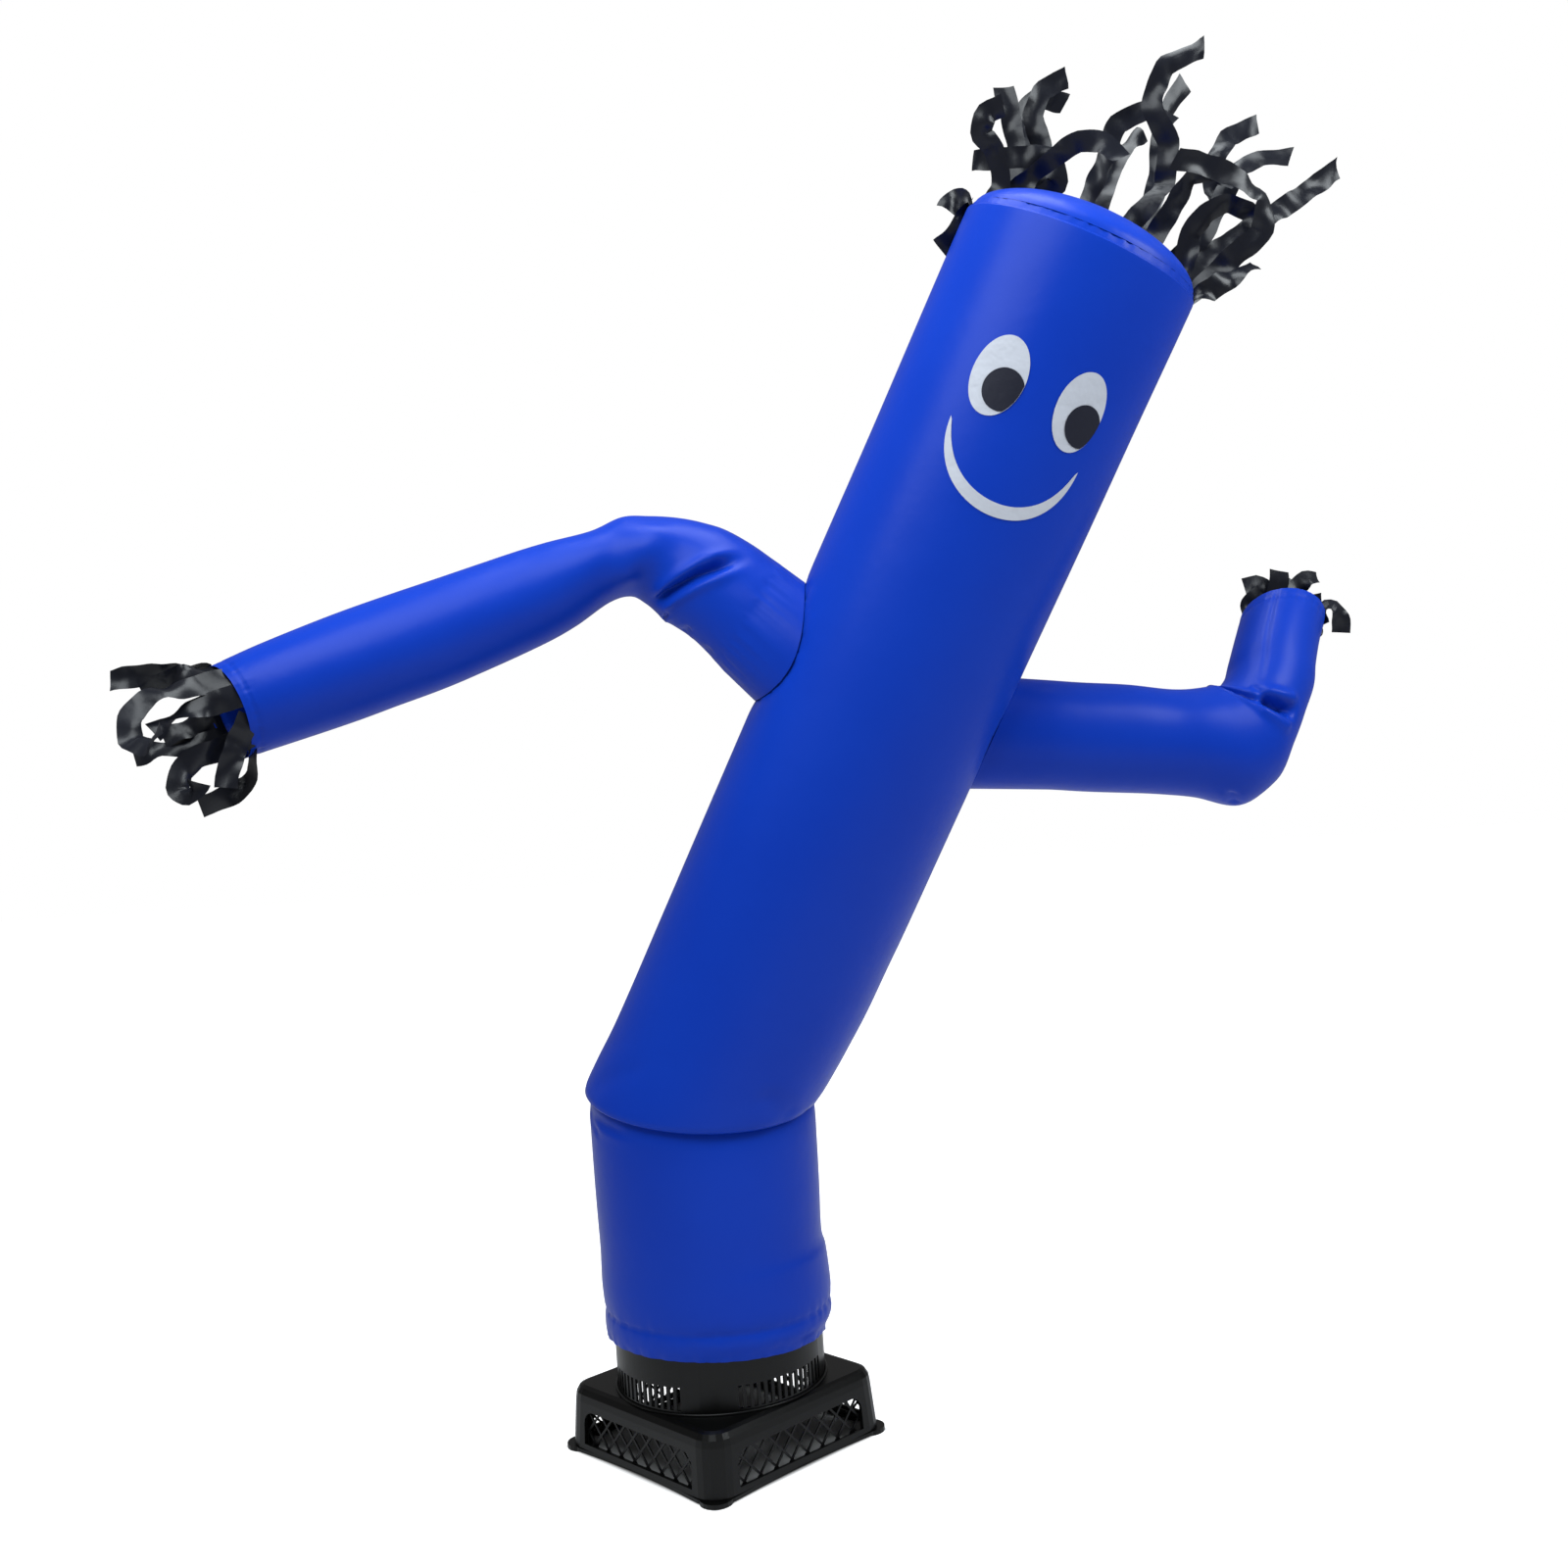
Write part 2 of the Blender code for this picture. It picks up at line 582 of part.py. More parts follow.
def housing(mat, parent):
    """The square fan housing: thin walls with a window in each side, and a deck with a round hole."""
    top = HALF_SIDE - DRAFT
    rings = [rounded_square(HALF_SIDE, CORNER_RADIUS, FOOT_HEIGHT + GAP, side_steps=SIDE_STEPS),
             rounded_square(top, CORNER_RADIUS, DECK_HEIGHT - EDGE_DOWN, side_steps=SIDE_STEPS)]
    for angle in (30.0, 60.0, 90.0):
        inward = EDGE_IN * (1.0 - math.cos(math.radians(angle)))
        down = EDGE_DOWN * (1.0 - math.sin(math.radians(angle)))
        rings.append(rounded_square(top - inward, CORNER_RADIUS - inward, DECK_HEIGHT - down,
                                    side_steps=SIDE_STEPS))
    rim = []
    for point in rings[-1]:
        rim.append(Vector((point.x, point.y, 0.0)).normalized() * DECK_HOLE + Vector((0, 0, DECK_HEIGHT)))
    rings.append(rim)
    bm, _ = loft(rings)
    obj = add_object("blower_housing", bm, mat, parent)
    thicken(obj, SHELL)
    for turn in (0.0, 90.0):
        cutter = window_cutter("window_cutter_%d" % turn, mat, obj)
        cutter.rotation_euler.z = math.radians(turn)
        cut(obj, cutter)
    return obj


def collar(mat, parent):
    """The round outlet that the hem fits over, with its groups of upright slots."""
    heights = (DECK_HEIGHT + GAP, SLOT_BOTTOM, SLOT_TOP, COLLAR_TOP)
    angles, open_cells = [], set()
    group_turn = 360.0 / SLOT_GROUPS
    plain = group_turn - SLOTS_A_GROUP * SLOT_PITCH + SLOT_PITCH * (1.0 - SLOT_SHARE)
    plain_steps = 3
    for group in range(SLOT_GROUPS):
        for slot in range(SLOTS_A_GROUP):
            start = FIRST_SLOT + group * group_turn + slot * SLOT_PITCH
            open_cells.add(len(angles))
            angles.append(start)
            if slot < SLOTS_A_GROUP - 1:
                angles.append(start + SLOT_PITCH * SLOT_SHARE)
        end = start + SLOT_PITCH * SLOT_SHARE
        for step in range(plain_steps):
            angles.append(end + plain * step / plain_steps)
    rings = []
    for z in heights:
        ring = []
        for angle in angles:
            turn = math.radians(angle - 90.0)
            ring.append(Vector((COLLAR_RADIUS * math.cos(turn), COLLAR_RADIUS * math.sin(turn), z)))
        rings.append(ring)
    bm, rows = loft(rings)
    bm.faces.ensure_lookup_table()
    count = len(angles)
    slots = [bm.faces[count + n] for n in open_cells]
    bmesh.ops.delete(bm, geom=slots, context="FACES_ONLY")
    obj = add_object("blower_collar", bm, mat, parent)
    thicken(obj, SHELL)
    return obj


def grille(name, turn, mat, parent):
    """A lattice of thin slanting bars behind one window."""
    half = WINDOW_HALF + GRILLE_BORDER
    low, high = WINDOW_SILL - GRILLE_BORDER, WINDOW_HEAD + GRILLE_BORDER
    bm = bmesh.new()
    corners = [bm.verts.new((x, 0.0, z)) for x, z in ((-half, low), (half, low), (half, high), (-half, high))]
    bm.faces.new(corners)
    slope = 2.0 * GRILLE_RISE / GRILLE_PITCH
    reach = int(half / GRILLE_PITCH) + int((high - low) / (2.0 * GRILLE_RISE)) + 2
    for hand in (-1.0, 1.0):
        cut_normal = Vector((hand * slope, 0.0, 1.0)).normalized()
        for n in range(-reach, reach + 1):
            through = Vector(((n + 0.5) * GRILLE_PITCH, 0.0, WINDOW_SILL))
            bmesh.ops.bisect_plane(bm, geom=bm.verts[:] + bm.edges[:] + bm.faces[:], plane_co=through,
                                   plane_no=cut_normal, dist=0.00001)
    result = bmesh.ops.inset_individual(bm, faces=bm.faces[:], thickness=BAR / 2.0, use_even_offset=True)
    rims = set(result["faces"])
    holes = [f for f in bm.faces if f not in rims]
    small = [f for f in holes if f.calc_area() < GRILLE_SMALLEST]
    bmesh.ops.delete(bm, geom=[f for f in holes if f not in small], context="FACES_ONLY")
    obj = add_object(name, bm, mat, parent, smooth=False)
    thicken(obj, GRILLE_DEPTH)
    behind_wall = Vector((0.0, -(HALF_SIDE - SHELL - GRILLE_BACK), 0.0))
    obj.location = Matrix.Rotation(math.radians(turn), 3, "Z") @ behind_wall
    obj.rotation_euler.z = math.radians(turn)
    return obj


def foot_frame(mat, parent):
    """The rail round the housing's foot, with a round pad at each corner to stand on."""
    inner = rounded_square(HALF_SIDE - RAIL_WIDTH + RAIL_OUT, CORNER_RADIUS - RAIL_WIDTH + RAIL_OUT, 0.0)
    outer = rounded_square(HALF_SIDE + RAIL_OUT, CORNER_RADIUS + RAIL_OUT, 0.0)
    steps = len(outer) // 4
    low, high = RAIL_LIFT, FOOT_HEIGHT
    bowed, bowed_in = [], []
    for quarter in range(4):
        corner = outer[quarter * steps:(quarter + 1) * steps]
        after = outer[(quarter + 1) * steps % len(outer)]
        bowed += corner
        bowed_in += inner[quarter * steps:(quarter + 1) * steps]
        last = corner[-1]
        for share in (0.2, 0.5, 0.8):
            middle = last.lerp(after, share)
            bow = RAIL_BOW * math.sin(math.pi * share)
            bowed.append(middle - middle.normalized() * bow)
            inside = inner[(quarter + 1) * steps - 1].lerp(inner[(quarter + 1) * steps % len(inner)], share)
            bowed_in.append(inside)
    bm = bmesh.new()
    loops = []
    for ring, z in ((bowed, low), (bowed, high), (bowed_in, high), (bowed_in, low)):
        loops.append([bm.verts.new((p.x, p.y, z)) for p in ring])
    count = len(bowed)
    for n in range(4):
        one, two = loops[n], loops[(n + 1) % 4]
        for i in range(count):
            j = (i + 1) % count
            bm.faces.new((one[i], one[j], two[j], two[i]))
    obj = add_object("blower_foot_frame", bm, mat, parent, smooth=False)
    pad_height = FOOT_HEIGHT - PAD_SHORT
    for n in range(4):
        angle = math.radians(45.0 + 90.0 * n)
        pad = bmesh.new()
        bmesh.ops.create_cone(pad, cap_ends=True, segments=20, radius1=PAD_RADIUS, radius2=PAD_RADIUS,
                              depth=pad_height)
        tool = as_cutter(add_object("pad_%d" % n, pad, mat, obj, smooth=False))
        tool.location = (PAD_PLACE * math.cos(angle), PAD_PLACE * math.sin(angle), pad_height / 2.0)
        join = obj.modifiers.new("pad", "BOOLEAN")
        join.operation = "UNION"
        join.solver = "EXACT"
        join.object = tool
    return obj


def main():
    """Builds the whole part: the cloth on the part's own axes, the blower turned under it."""
    remove_startup_objects()
    cloth = material("blue coated nylon", (0.018, 0.062, 0.52), 0.42)
    ribbon = material("black nylon strip", (0.012, 0.012, 0.014), 0.5)
    white = material("white patch cloth", (0.72, 0.74, 0.80), 0.55)
    black = material("black patch cloth", (0.006, 0.007, 0.012), 0.5)
    plastic = material("black housing plastic", (0.012, 0.012, 0.013), 0.38)

    part = bpy.data.objects.new("air_dancer", None)
    bpy.context.scene.collection.objects.link(part)
    part.location = (*BLOWER_AXIS, 0.0)

    body = tube_skin("body_tube", BODY, BODY_CREASES, TUBE_SIDES, cloth, part)
    tree = surface_of(body)
    for name, table, creases in (("arm_left", LEFT_ARM, LEFT_CREASES), ("arm_right", RIGHT_ARM, RIGHT_CREASES)):
        root = sleeve_root(table, SLEEVE_SIDES, tree)
        tube_skin(name, table, creases, SLEEVE_SIDES, cloth, part, first_ring=root)
        cut(body, arm_hole(name + "_hole_cutter", root, table, cloth, part))
    head_top(cloth, part)

    for patch in EYES:
        oval_patch(patch, SEAM_GAP, white, part)
    for patch, eye in zip(PUPILS, EYES):
        oval_patch(patch, SEAM_GAP + PATCH + GAP, black, part, points=12, inside=eye)
    mouth_patch(white, part)

    fringe("hair_fringe", BODY[-1], HAIR_OUT, HAIR_SEGMENTS, HAIR_FROM, HAIR_TO, HAIR, HAIR_LIFT,
           ribbon, part)
    for name, edge, strips in (("cuff_fringe_left", LEFT_ARM[-1], LEFT_FRINGE),
                               ("cuff_fringe_right", RIGHT_ARM[-1], RIGHT_FRINGE)):
        fringe(name, edge, -CLOTH, CUFF_SEGMENTS, -180.0, 180.0, strips, CUFF_LIFT, ribbon, part)

    base = bpy.data.objects.new("blower", None)
    bpy.context.scene.collection.objects.link(base)
    base.parent = part
    base.rotation_euler.z = math.radians(HOUSING_YAW)
    housing(plastic, base)
    foot_frame(plastic, base)
    for n, name in enumerate(("grille_front_left", "grille_front_right", "grille_back_right", "grille_back_left")):
        grille(name, 90.0 * n, plastic, base)
    collar(plastic, part)


main()
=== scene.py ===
# %% [markdown]
# An inflatable air dancer bends over the square fan that keeps it up. Everything blue is one
# light cloth, blown tight, so its shape is a set of soft tubes, and what makes it look real is
# in the seams, the elbow folds and the sheen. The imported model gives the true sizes, and this
# lesson dresses it in finer cloth, ribbons and moulded plastic.

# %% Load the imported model
import json
import math

import bmesh
import bpy
from collections import namedtuple
from mathutils import Matrix, Vector, noise
from mathutils.bvhtree import BVHTree
from mathutils.kdtree import KDTree

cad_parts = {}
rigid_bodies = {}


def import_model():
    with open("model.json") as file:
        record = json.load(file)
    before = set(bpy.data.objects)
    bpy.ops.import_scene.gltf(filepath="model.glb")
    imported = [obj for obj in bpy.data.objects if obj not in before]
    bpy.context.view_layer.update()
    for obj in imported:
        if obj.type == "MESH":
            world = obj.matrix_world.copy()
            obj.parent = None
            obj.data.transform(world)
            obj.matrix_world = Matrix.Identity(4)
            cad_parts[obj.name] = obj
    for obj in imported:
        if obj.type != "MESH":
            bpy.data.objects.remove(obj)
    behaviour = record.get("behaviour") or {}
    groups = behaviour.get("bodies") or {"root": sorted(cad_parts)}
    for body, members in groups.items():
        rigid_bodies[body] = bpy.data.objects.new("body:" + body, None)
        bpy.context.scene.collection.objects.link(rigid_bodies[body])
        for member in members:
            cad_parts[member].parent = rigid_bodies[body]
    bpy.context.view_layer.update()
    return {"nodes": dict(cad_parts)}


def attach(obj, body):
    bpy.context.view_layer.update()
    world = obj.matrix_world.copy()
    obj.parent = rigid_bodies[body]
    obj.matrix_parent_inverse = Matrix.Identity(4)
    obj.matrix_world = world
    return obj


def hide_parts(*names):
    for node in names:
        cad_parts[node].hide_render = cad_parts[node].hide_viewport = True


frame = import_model()
print("nodes:", len(frame["nodes"]))

# %% [markdown]
# The camera stands about two metres off, at half the dancer's height, and is rolled by a few
# degrees about its own line of sight. Its place and lens were worked out from the round
# collar and the hem, whose real shapes are known circles.

# %% Camera
CAMERA_OFF = (0.120, -1.979, 0.822)      # metres from the blower's axis at the floor
CAMERA_TILT, CAMERA_ROLL = 88.70, -3.71  # degrees
CAMERA_LENS, SENSOR_WIDTH = 38.25, 36.0  # millimetres

blower_axis = Vector((-0.119, 0.046, 0.0))
camera_data = bpy.data.cameras.new("studio_camera")
camera_data.sensor_width = SENSOR_WIDTH
camera_data.lens = CAMERA_LENS
camera = bpy.data.objects.new("studio_camera", camera_data)
bpy.context.scene.collection.objects.link(camera)
camera.location = blower_axis + Vector(CAMERA_OFF)
tilt = Matrix.Rotation(math.radians(CAMERA_TILT), 3, "X")
roll = Matrix.Rotation(math.radians(CAMERA_ROLL), 3, "Z")
camera.rotation_euler = (tilt @ roll).to_euler()
bpy.context.scene.camera = camera
print("camera at", tuple(round(v, 3) for v in camera.location))

# %% [markdown]
# The set is a white backdrop in a dark room, as for a catalogue cut-out: the camera sees white
# all round, but the cloth only sees a dim grey, so the big soft boxes alone draw the broad
# satin bands that run down the left of each tube. A Light Path node in the world and one in
# the floor tell the camera from the cloth. The Standard view keeps the royal blue as strong as
# it is. The floor is a light table, which glows all round; under the blower it has a painted
# shade, a square of darker grey that gives no glow.

# %% Floor with a painted shade under the blower, world and soft boxes
HOUSING_YAW = 43.5                       # degrees; a corner of the blower faces the viewer
PAINTED_SHADE_HALF, PAINTED_SHADE_EDGE = 0.130, 0.142      # half the painted shade's side under the blower, and where its soft edge ends
FLOOR_HALF, FLOOR_DOWN = 9.0, 0.0005
FLOOR_ON_CLOTH, FLOOR_SEEN = 0.13, 0.90  # the floor's glow on the cloth and to the camera
WORLD_ON_CLOTH, WORLD_SEEN = 0.20, 1.0   # the same for the world


def from_hex(code):
    """Turns an sRGB hex colour into linear values with alpha one."""
    channels = [int(code[i:i + 2], 16) / 255.0 for i in (1, 3, 5)]
    linear = [c / 12.92 if c <= 0.04045 else ((c + 0.055) / 1.055) ** 2.4 for c in channels]
    return (*linear, 1.0)


def add_node(material, kind, inputs=None, **settings):
    """Adds one node; an input is a plain value, or a (node, socket name) to link from."""
    tree = material.node_tree
    node = tree.nodes.new(kind)
    for key, value in settings.items():
        setattr(node, key, value)
    for key, value in (inputs or {}).items():
        if isinstance(value, tuple) and hasattr(value[0], "outputs"):
            tree.links.new(value[0].outputs[value[1]], node.inputs[key])
        else:
            node.inputs[key].default_value = value
    return node


def new_material(name):
    """Makes a node material and returns it with its shader."""
    material = bpy.data.materials.new(name)
    material.use_nodes = True
    return material, material.node_tree.nodes["Principled BSDF"]


studio_floor, floor_shader = new_material("backlit_white_acrylic")
floor_shader.inputs["Roughness"].default_value = 0.9
floor_shader.inputs["Specular IOR Level"].default_value = 0.1
floor_shader.inputs["Emission Color"].default_value = (1.0, 1.0, 1.0, 1.0)
seen = add_node(studio_floor, "ShaderNodeLightPath")
lit = add_node(studio_floor, "ShaderNodeMapRange", {
    "Value": (seen, "Is Camera Ray"), "To Min": FLOOR_ON_CLOTH, "To Max": FLOOR_SEEN})
floor_place = add_node(studio_floor, "ShaderNodeTexCoord")
turned_place = add_node(studio_floor, "ShaderNodeVectorRotate", {
    "Vector": (floor_place, "Object"), "Center": tuple(blower_axis),
    "Angle": math.radians(-HOUSING_YAW)}, rotation_type="Z_AXIS")
from_fan = add_node(studio_floor, "ShaderNodeVectorMath", {
    0: (turned_place, "Vector"), 1: tuple(blower_axis)}, operation="SUBTRACT")
plain_away = add_node(studio_floor, "ShaderNodeVectorMath", {0: (from_fan, "Vector")}, operation="ABSOLUTE")
sides = add_node(studio_floor, "ShaderNodeSeparateXYZ", {0: (plain_away, "Vector")})
reach = add_node(studio_floor, "ShaderNodeMath", {0: (sides, "X"), 1: (sides, "Y")}, operation="MAXIMUM")
# Painted shade under the blower: in a square round it the floor loses its glow and turns grey.
clear_of_painted_shade = add_node(studio_floor, "ShaderNodeMapRange", {
    "Value": (reach, "Value"), "From Min": PAINTED_SHADE_HALF, "From Max": PAINTED_SHADE_EDGE})
glow = add_node(studio_floor, "ShaderNodeMath", {
    0: (lit, "Result"), 1: (clear_of_painted_shade, "Result")}, operation="MULTIPLY")
# The floor's white, turning to the grey of the painted shade under the blower.
floor_white_and_painted_shade = add_node(studio_floor, "ShaderNodeMix", {
    0: (clear_of_painted_shade, "Result"), 6: from_hex("#ADADAD"), 7: from_hex("#DDDDDD")}, data_type="RGBA")
studio_floor.node_tree.links.new(glow.outputs["Value"], floor_shader.inputs["Emission Strength"])
studio_floor.node_tree.links.new(floor_white_and_painted_shade.outputs[2], floor_shader.inputs["Base Color"])
floor_mesh = bpy.data.meshes.new("studio_floor")
floor_corners = []
for x, y in ((-1, -1), (1, -1), (1, 1), (-1, 1)):
    floor_corners.append((x * FLOOR_HALF, y * FLOOR_HALF, -FLOOR_DOWN))
floor_mesh.from_pydata(floor_corners, [], [(0, 1, 2, 3)])
floor_mesh.materials.append(studio_floor)
floor = bpy.data.objects.new("studio_floor", floor_mesh)
bpy.context.scene.collection.objects.link(floor)

world = bpy.data.worlds.new("white_studio")
world.use_nodes = True
backdrop = world.node_tree.nodes["Background"]
backdrop.inputs["Color"].default_value = (1.0, 1.0, 1.0, 1.0)
ray = add_node(world, "ShaderNodeLightPath")
dim = add_node(world, "ShaderNodeMapRange", {
    "Value": (ray, "Is Camera Ray"), "To Min": WORLD_ON_CLOTH, "To Max": WORLD_SEEN})
world.node_tree.links.new(dim.outputs["Result"], backdrop.inputs["Strength"])
bpy.context.scene.world = world
bpy.context.scene.view_settings.view_transform = "Standard"

Box = namedtuple("Box", "name place aim wide tall power")
SOFT_BOXES = [
    Box("key_box", (-0.55, -1.15, 2.25), (0.35, 0.0, 1.3), 1.5, 1.2, 37.0),
    Box("fill_box", (1.65, -0.60, 1.95), (0.65, 0.1, 0.9), 0.8, 0.9, 24.0),
    Box("top_box", (0.1, 0.0, 3.0), (0.1, 0.0, 0.9), 1.4, 1.4, 42.0),
]
for box in SOFT_BOXES:
    light = bpy.data.lights.new(box.name, "AREA")
    light.shape = "RECTANGLE"
    light.size, light.size_y, light.energy = box.wide, box.tall, box.power
    light.color = (0.91, 0.97, 1.0)
    lamp = bpy.data.objects.new(box.name, light)
    bpy.context.scene.collection.objects.link(lamp)
    lamp.location = box.place
    lamp.rotation_euler = (Vector(box.aim) - Vector(box.place)).to_track_quat("-Z", "Y").to_euler()
print("soft boxes:", len(SOFT_BOXES))

# %% [markdown]
# The cloth is nylon taffeta with a thin polyurethane coat on its inner side: light, tight and
# a little shiny. The coat closes the weave, so the eye reads a smooth satin sheet first, with
# soft broad highlights, and the threads only close up. Threads are 0.25 mm apart; drawn at
# 1.2 mm they just show at this picture's size. The pattern is laid on the cloth's own metres.

# %% Coated blue nylon
THREAD_MM, THREAD_DEPTH = 1.2, 0.00006   # as drawn, in millimetres and metres


def weave_bump(material, crumple_depth, crumple_scale):
    """Threads that cross at right angles, over a finer or coarser crumple, as one bump."""
    cloth_place = add_node(material, "ShaderNodeUVMap", uv_map="cloth_metres")
    waves = []
    for direction in ("X", "Y"):
        waves.append(add_node(material, "ShaderNodeTexWave", {
            "Vector": (cloth_place, "UV"), "Scale": math.pi / (THREAD_MM * 0.001) / 10.0,
            "Distortion": 0.4, "Detail": 1.0}, wave_type="BANDS", bands_direction=direction))
    threads = add_node(material, "ShaderNodeMath", {
        0: (waves[0], "Fac"), 1: (waves[1], "Fac")}, operation="MULTIPLY")
    room = add_node(material, "ShaderNodeTexCoord")
    crumple = add_node(material, "ShaderNodeTexNoise", {
        "Vector": (room, "Object"), "Scale": crumple_scale, "Detail": 3.0, "Roughness": 0.55})
    wide = add_node(material, "ShaderNodeBump", {
        "Height": (crumple, "Fac"), "Distance": crumple_depth, "Strength": 1.0})
    return add_node(material, "ShaderNodeBump", {
        "Height": (threads, "Value"), "Distance": THREAD_DEPTH, "Strength": 0.35, "Normal": (wide, "Normal")})


def cloth_material(name, low, high, roughness, crumple_depth, crumple_scale, shine=0.10):
    """A coated nylon with a slow change of tone, a weave and a sheen."""
    material, shader = new_material(name)
    room = add_node(material, "ShaderNodeTexCoord")
    cloud = add_node(material, "ShaderNodeTexNoise", {
        "Vector": (room, "Object"), "Scale": 6.0, "Detail": 3.0})
    tone = add_node(material, "ShaderNodeMix", {0: (cloud, "Fac"), 6: from_hex(low), 7: from_hex(high)},
                    data_type="RGBA")
    gloss = add_node(material, "ShaderNodeMapRange", {
        "Value": (cloud, "Fac"), "To Min": roughness - 0.04, "To Max": roughness + 0.05})
    bump = weave_bump(material, crumple_depth, crumple_scale)
    links = material.node_tree.links
    links.new(tone.outputs[2], shader.inputs["Base Color"])
    links.new(gloss.outputs["Result"], shader.inputs["Roughness"])
    links.new(bump.outputs["Normal"], shader.inputs["Normal"])
    shader.inputs["IOR"].default_value = 1.53
    shader.inputs["Specular IOR Level"].default_value = shine
    shader.inputs["Sheen Weight"].default_value = 0.005
    shader.inputs["Sheen Roughness"].default_value = 0.4
    return material


blue_nylon = cloth_material("coated_blue_nylon_taffeta", "#0A32A4", "#0C3AB0", 0.34, 0.0005, 26.0)
white_nylon = cloth_material("white_nylon_patch_cloth", "#B0B4BF", "#C3C7D1", 0.5, 0.0030, 30.0)
pupil_nylon = cloth_material("black_nylon_patch_cloth", "#1B1C28", "#222430", 0.5, 0.0008, 55.0, 0.12)
ribbon_nylon = cloth_material("black_nylon_ribbon", "#0A0B10", "#141722", 0.31, 0.0003, 24.0, 0.26)
print("cloths:", blue_nylon.name, white_nylon.name, pupil_nylon.name, ribbon_nylon.name)

# %% [markdown]
# The blower is ABS, injection moulded in a tool with a fine spark-eroded grain, so it is a
# satin black that goes grey where it faces the light. The grain is 0.3 mm; drawn at 1 mm.

# %% Moulded black ABS
GRAIN_SCALE = 900.0                      # grains per metre, as drawn


def moulded_plastic(name, low, high, roughness):
    """ABS with the fine grain of its mould and slightly uneven gloss."""
    material, shader = new_material(name)
    room = add_node(material, "ShaderNodeTexCoord")
    grain = add_node(material, "ShaderNodeTexNoise", {
        "Vector": (room, "Object"), "Scale": GRAIN_SCALE, "Detail": 2.0})
    cloud = add_node(material, "ShaderNodeTexNoise", {
        "Vector": (room, "Object"), "Scale": 14.0, "Detail": 3.0})
    tone = add_node(material, "ShaderNodeMix", {0: (cloud, "Fac"), 6: from_hex(low), 7: from_hex(high)},
                    data_type="RGBA")
    gloss = add_node(material, "ShaderNodeMapRange", {
        "Value": (cloud, "Fac"), "To Min": roughness - 0.05, "To Max": roughness + 0.06})
    bump = add_node(material, "ShaderNodeBump", {
        "Height": (grain, "Fac"), "Distance": 0.00008, "Strength": 0.5})
    links = material.node_tree.links
    links.new(tone.outputs[2], shader.inputs["Base Color"])
    links.new(gloss.outputs["Result"], shader.inputs["Roughness"])
    links.new(bump.outputs["Normal"], shader.inputs["Normal"])
    shader.inputs["IOR"].default_value = 1.54
    shader.inputs["Specular IOR Level"].default_value = 0.20
    return material


black_abs = moulded_plastic("moulded_black_abs", "#030303", "#070707", 0.31)
grille_abs = moulded_plastic("moulded_black_abs_grille", "#070708", "#0C0C0D", 0.42)
print("plastics:", black_abs.name, grille_abs.name)

# %% [markdown]
# A blown tube is round wherever nothing pinches it, so a few sections are enough: each gives
# the middle of one ring, which way it faces and its two half widths. They are the same ones
# that the solids were built on. A smooth curve through them gives a ring every few millimetres.

# %% Sections of the tubes
Section = namedtuple("Section", "x y z lean turn across deep")

BODY = [
    Section(-0.002, 0.000, 0.1340, 2.5, -2.0, 0.1298, 0.1294),    # hem edge, drawn in
    Section(-0.002, 0.000, 0.1420, 2.5, -2.0, 0.1315, 0.1318),
    Section(0.0010, 0.000, 0.1540, 2.0, -1.0, 0.1350, 0.1335),
    Section(0.0015, 0.000, 0.1690, 1.5, 0.0, 0.1346, 0.1328),     # hem stitch line
    Section(0.0015, 0.000, 0.1840, 1.0, 0.0, 0.1356, 0.1345),
    Section(0.0005, 0.000, 0.2050, 0.0, 0.0, 0.1354, 0.1346),
    Section(-0.0003, 0.000, 0.2260, 0.0, 0.0, 0.1342, 0.1342),
    Section(-0.002, 0.000, 0.2450, 0.0, 0.0, 0.1322, 0.1338),
    Section(-0.002, 0.000, 0.3000, 0.0, 0.0, 0.1332, 0.1335),
    Section(-0.002, 0.000, 0.3550, 1.0, 2.0, 0.1336, 0.1335),
    Section(-0.002, 0.000, 0.4000, 3.5, 6.0, 0.1334, 0.1325),
    Section(-0.003, 0.000, 0.4235, 5.5, 8.5, 0.1300, 0.1282),     # the kink's tucked crease
    Section(0.000, -0.001, 0.4185, 5.5, 8.5, 0.1388, 0.1380),     # lip hanging over it
    Section(0.0045, -0.001, 0.4260, 5.0, 8.0, 0.1424, 0.1402),
    Section(0.0195, -0.003, 0.4525, 4.8, 6.3, 0.1432, 0.1400),
    Section(0.0410, -0.008, 0.4890, 7.2, 5.5, 0.1408, 0.1380),
    Section(0.0663, -0.014, 0.5350, 12.6, 5.0, 0.1378, 0.1362),
    Section(0.1000, -0.0225, 0.6000, 19.5, 6.0, 0.1351, 0.1349),
    Section(0.1470, -0.034, 0.6900, 26.0, 6.3, 0.1344, 0.1344),
    Section(0.2605, -0.061, 0.9100, 27.3, 6.3, 0.1346, 0.1346),
    Section(0.3750, -0.0885, 1.1300, 27.3, 6.3, 0.1357, 0.1357),
    Section(0.4740, -0.112, 1.3200, 27.3, 6.3, 0.1362, 0.1362),
    Section(0.4845, -0.1145, 1.3400, 27.3, 6.3, 0.1350, 0.1350),
    Section(0.4886, -0.1155, 1.3480, 27.3, 6.3, 0.1322, 0.1322),  # head seam
]
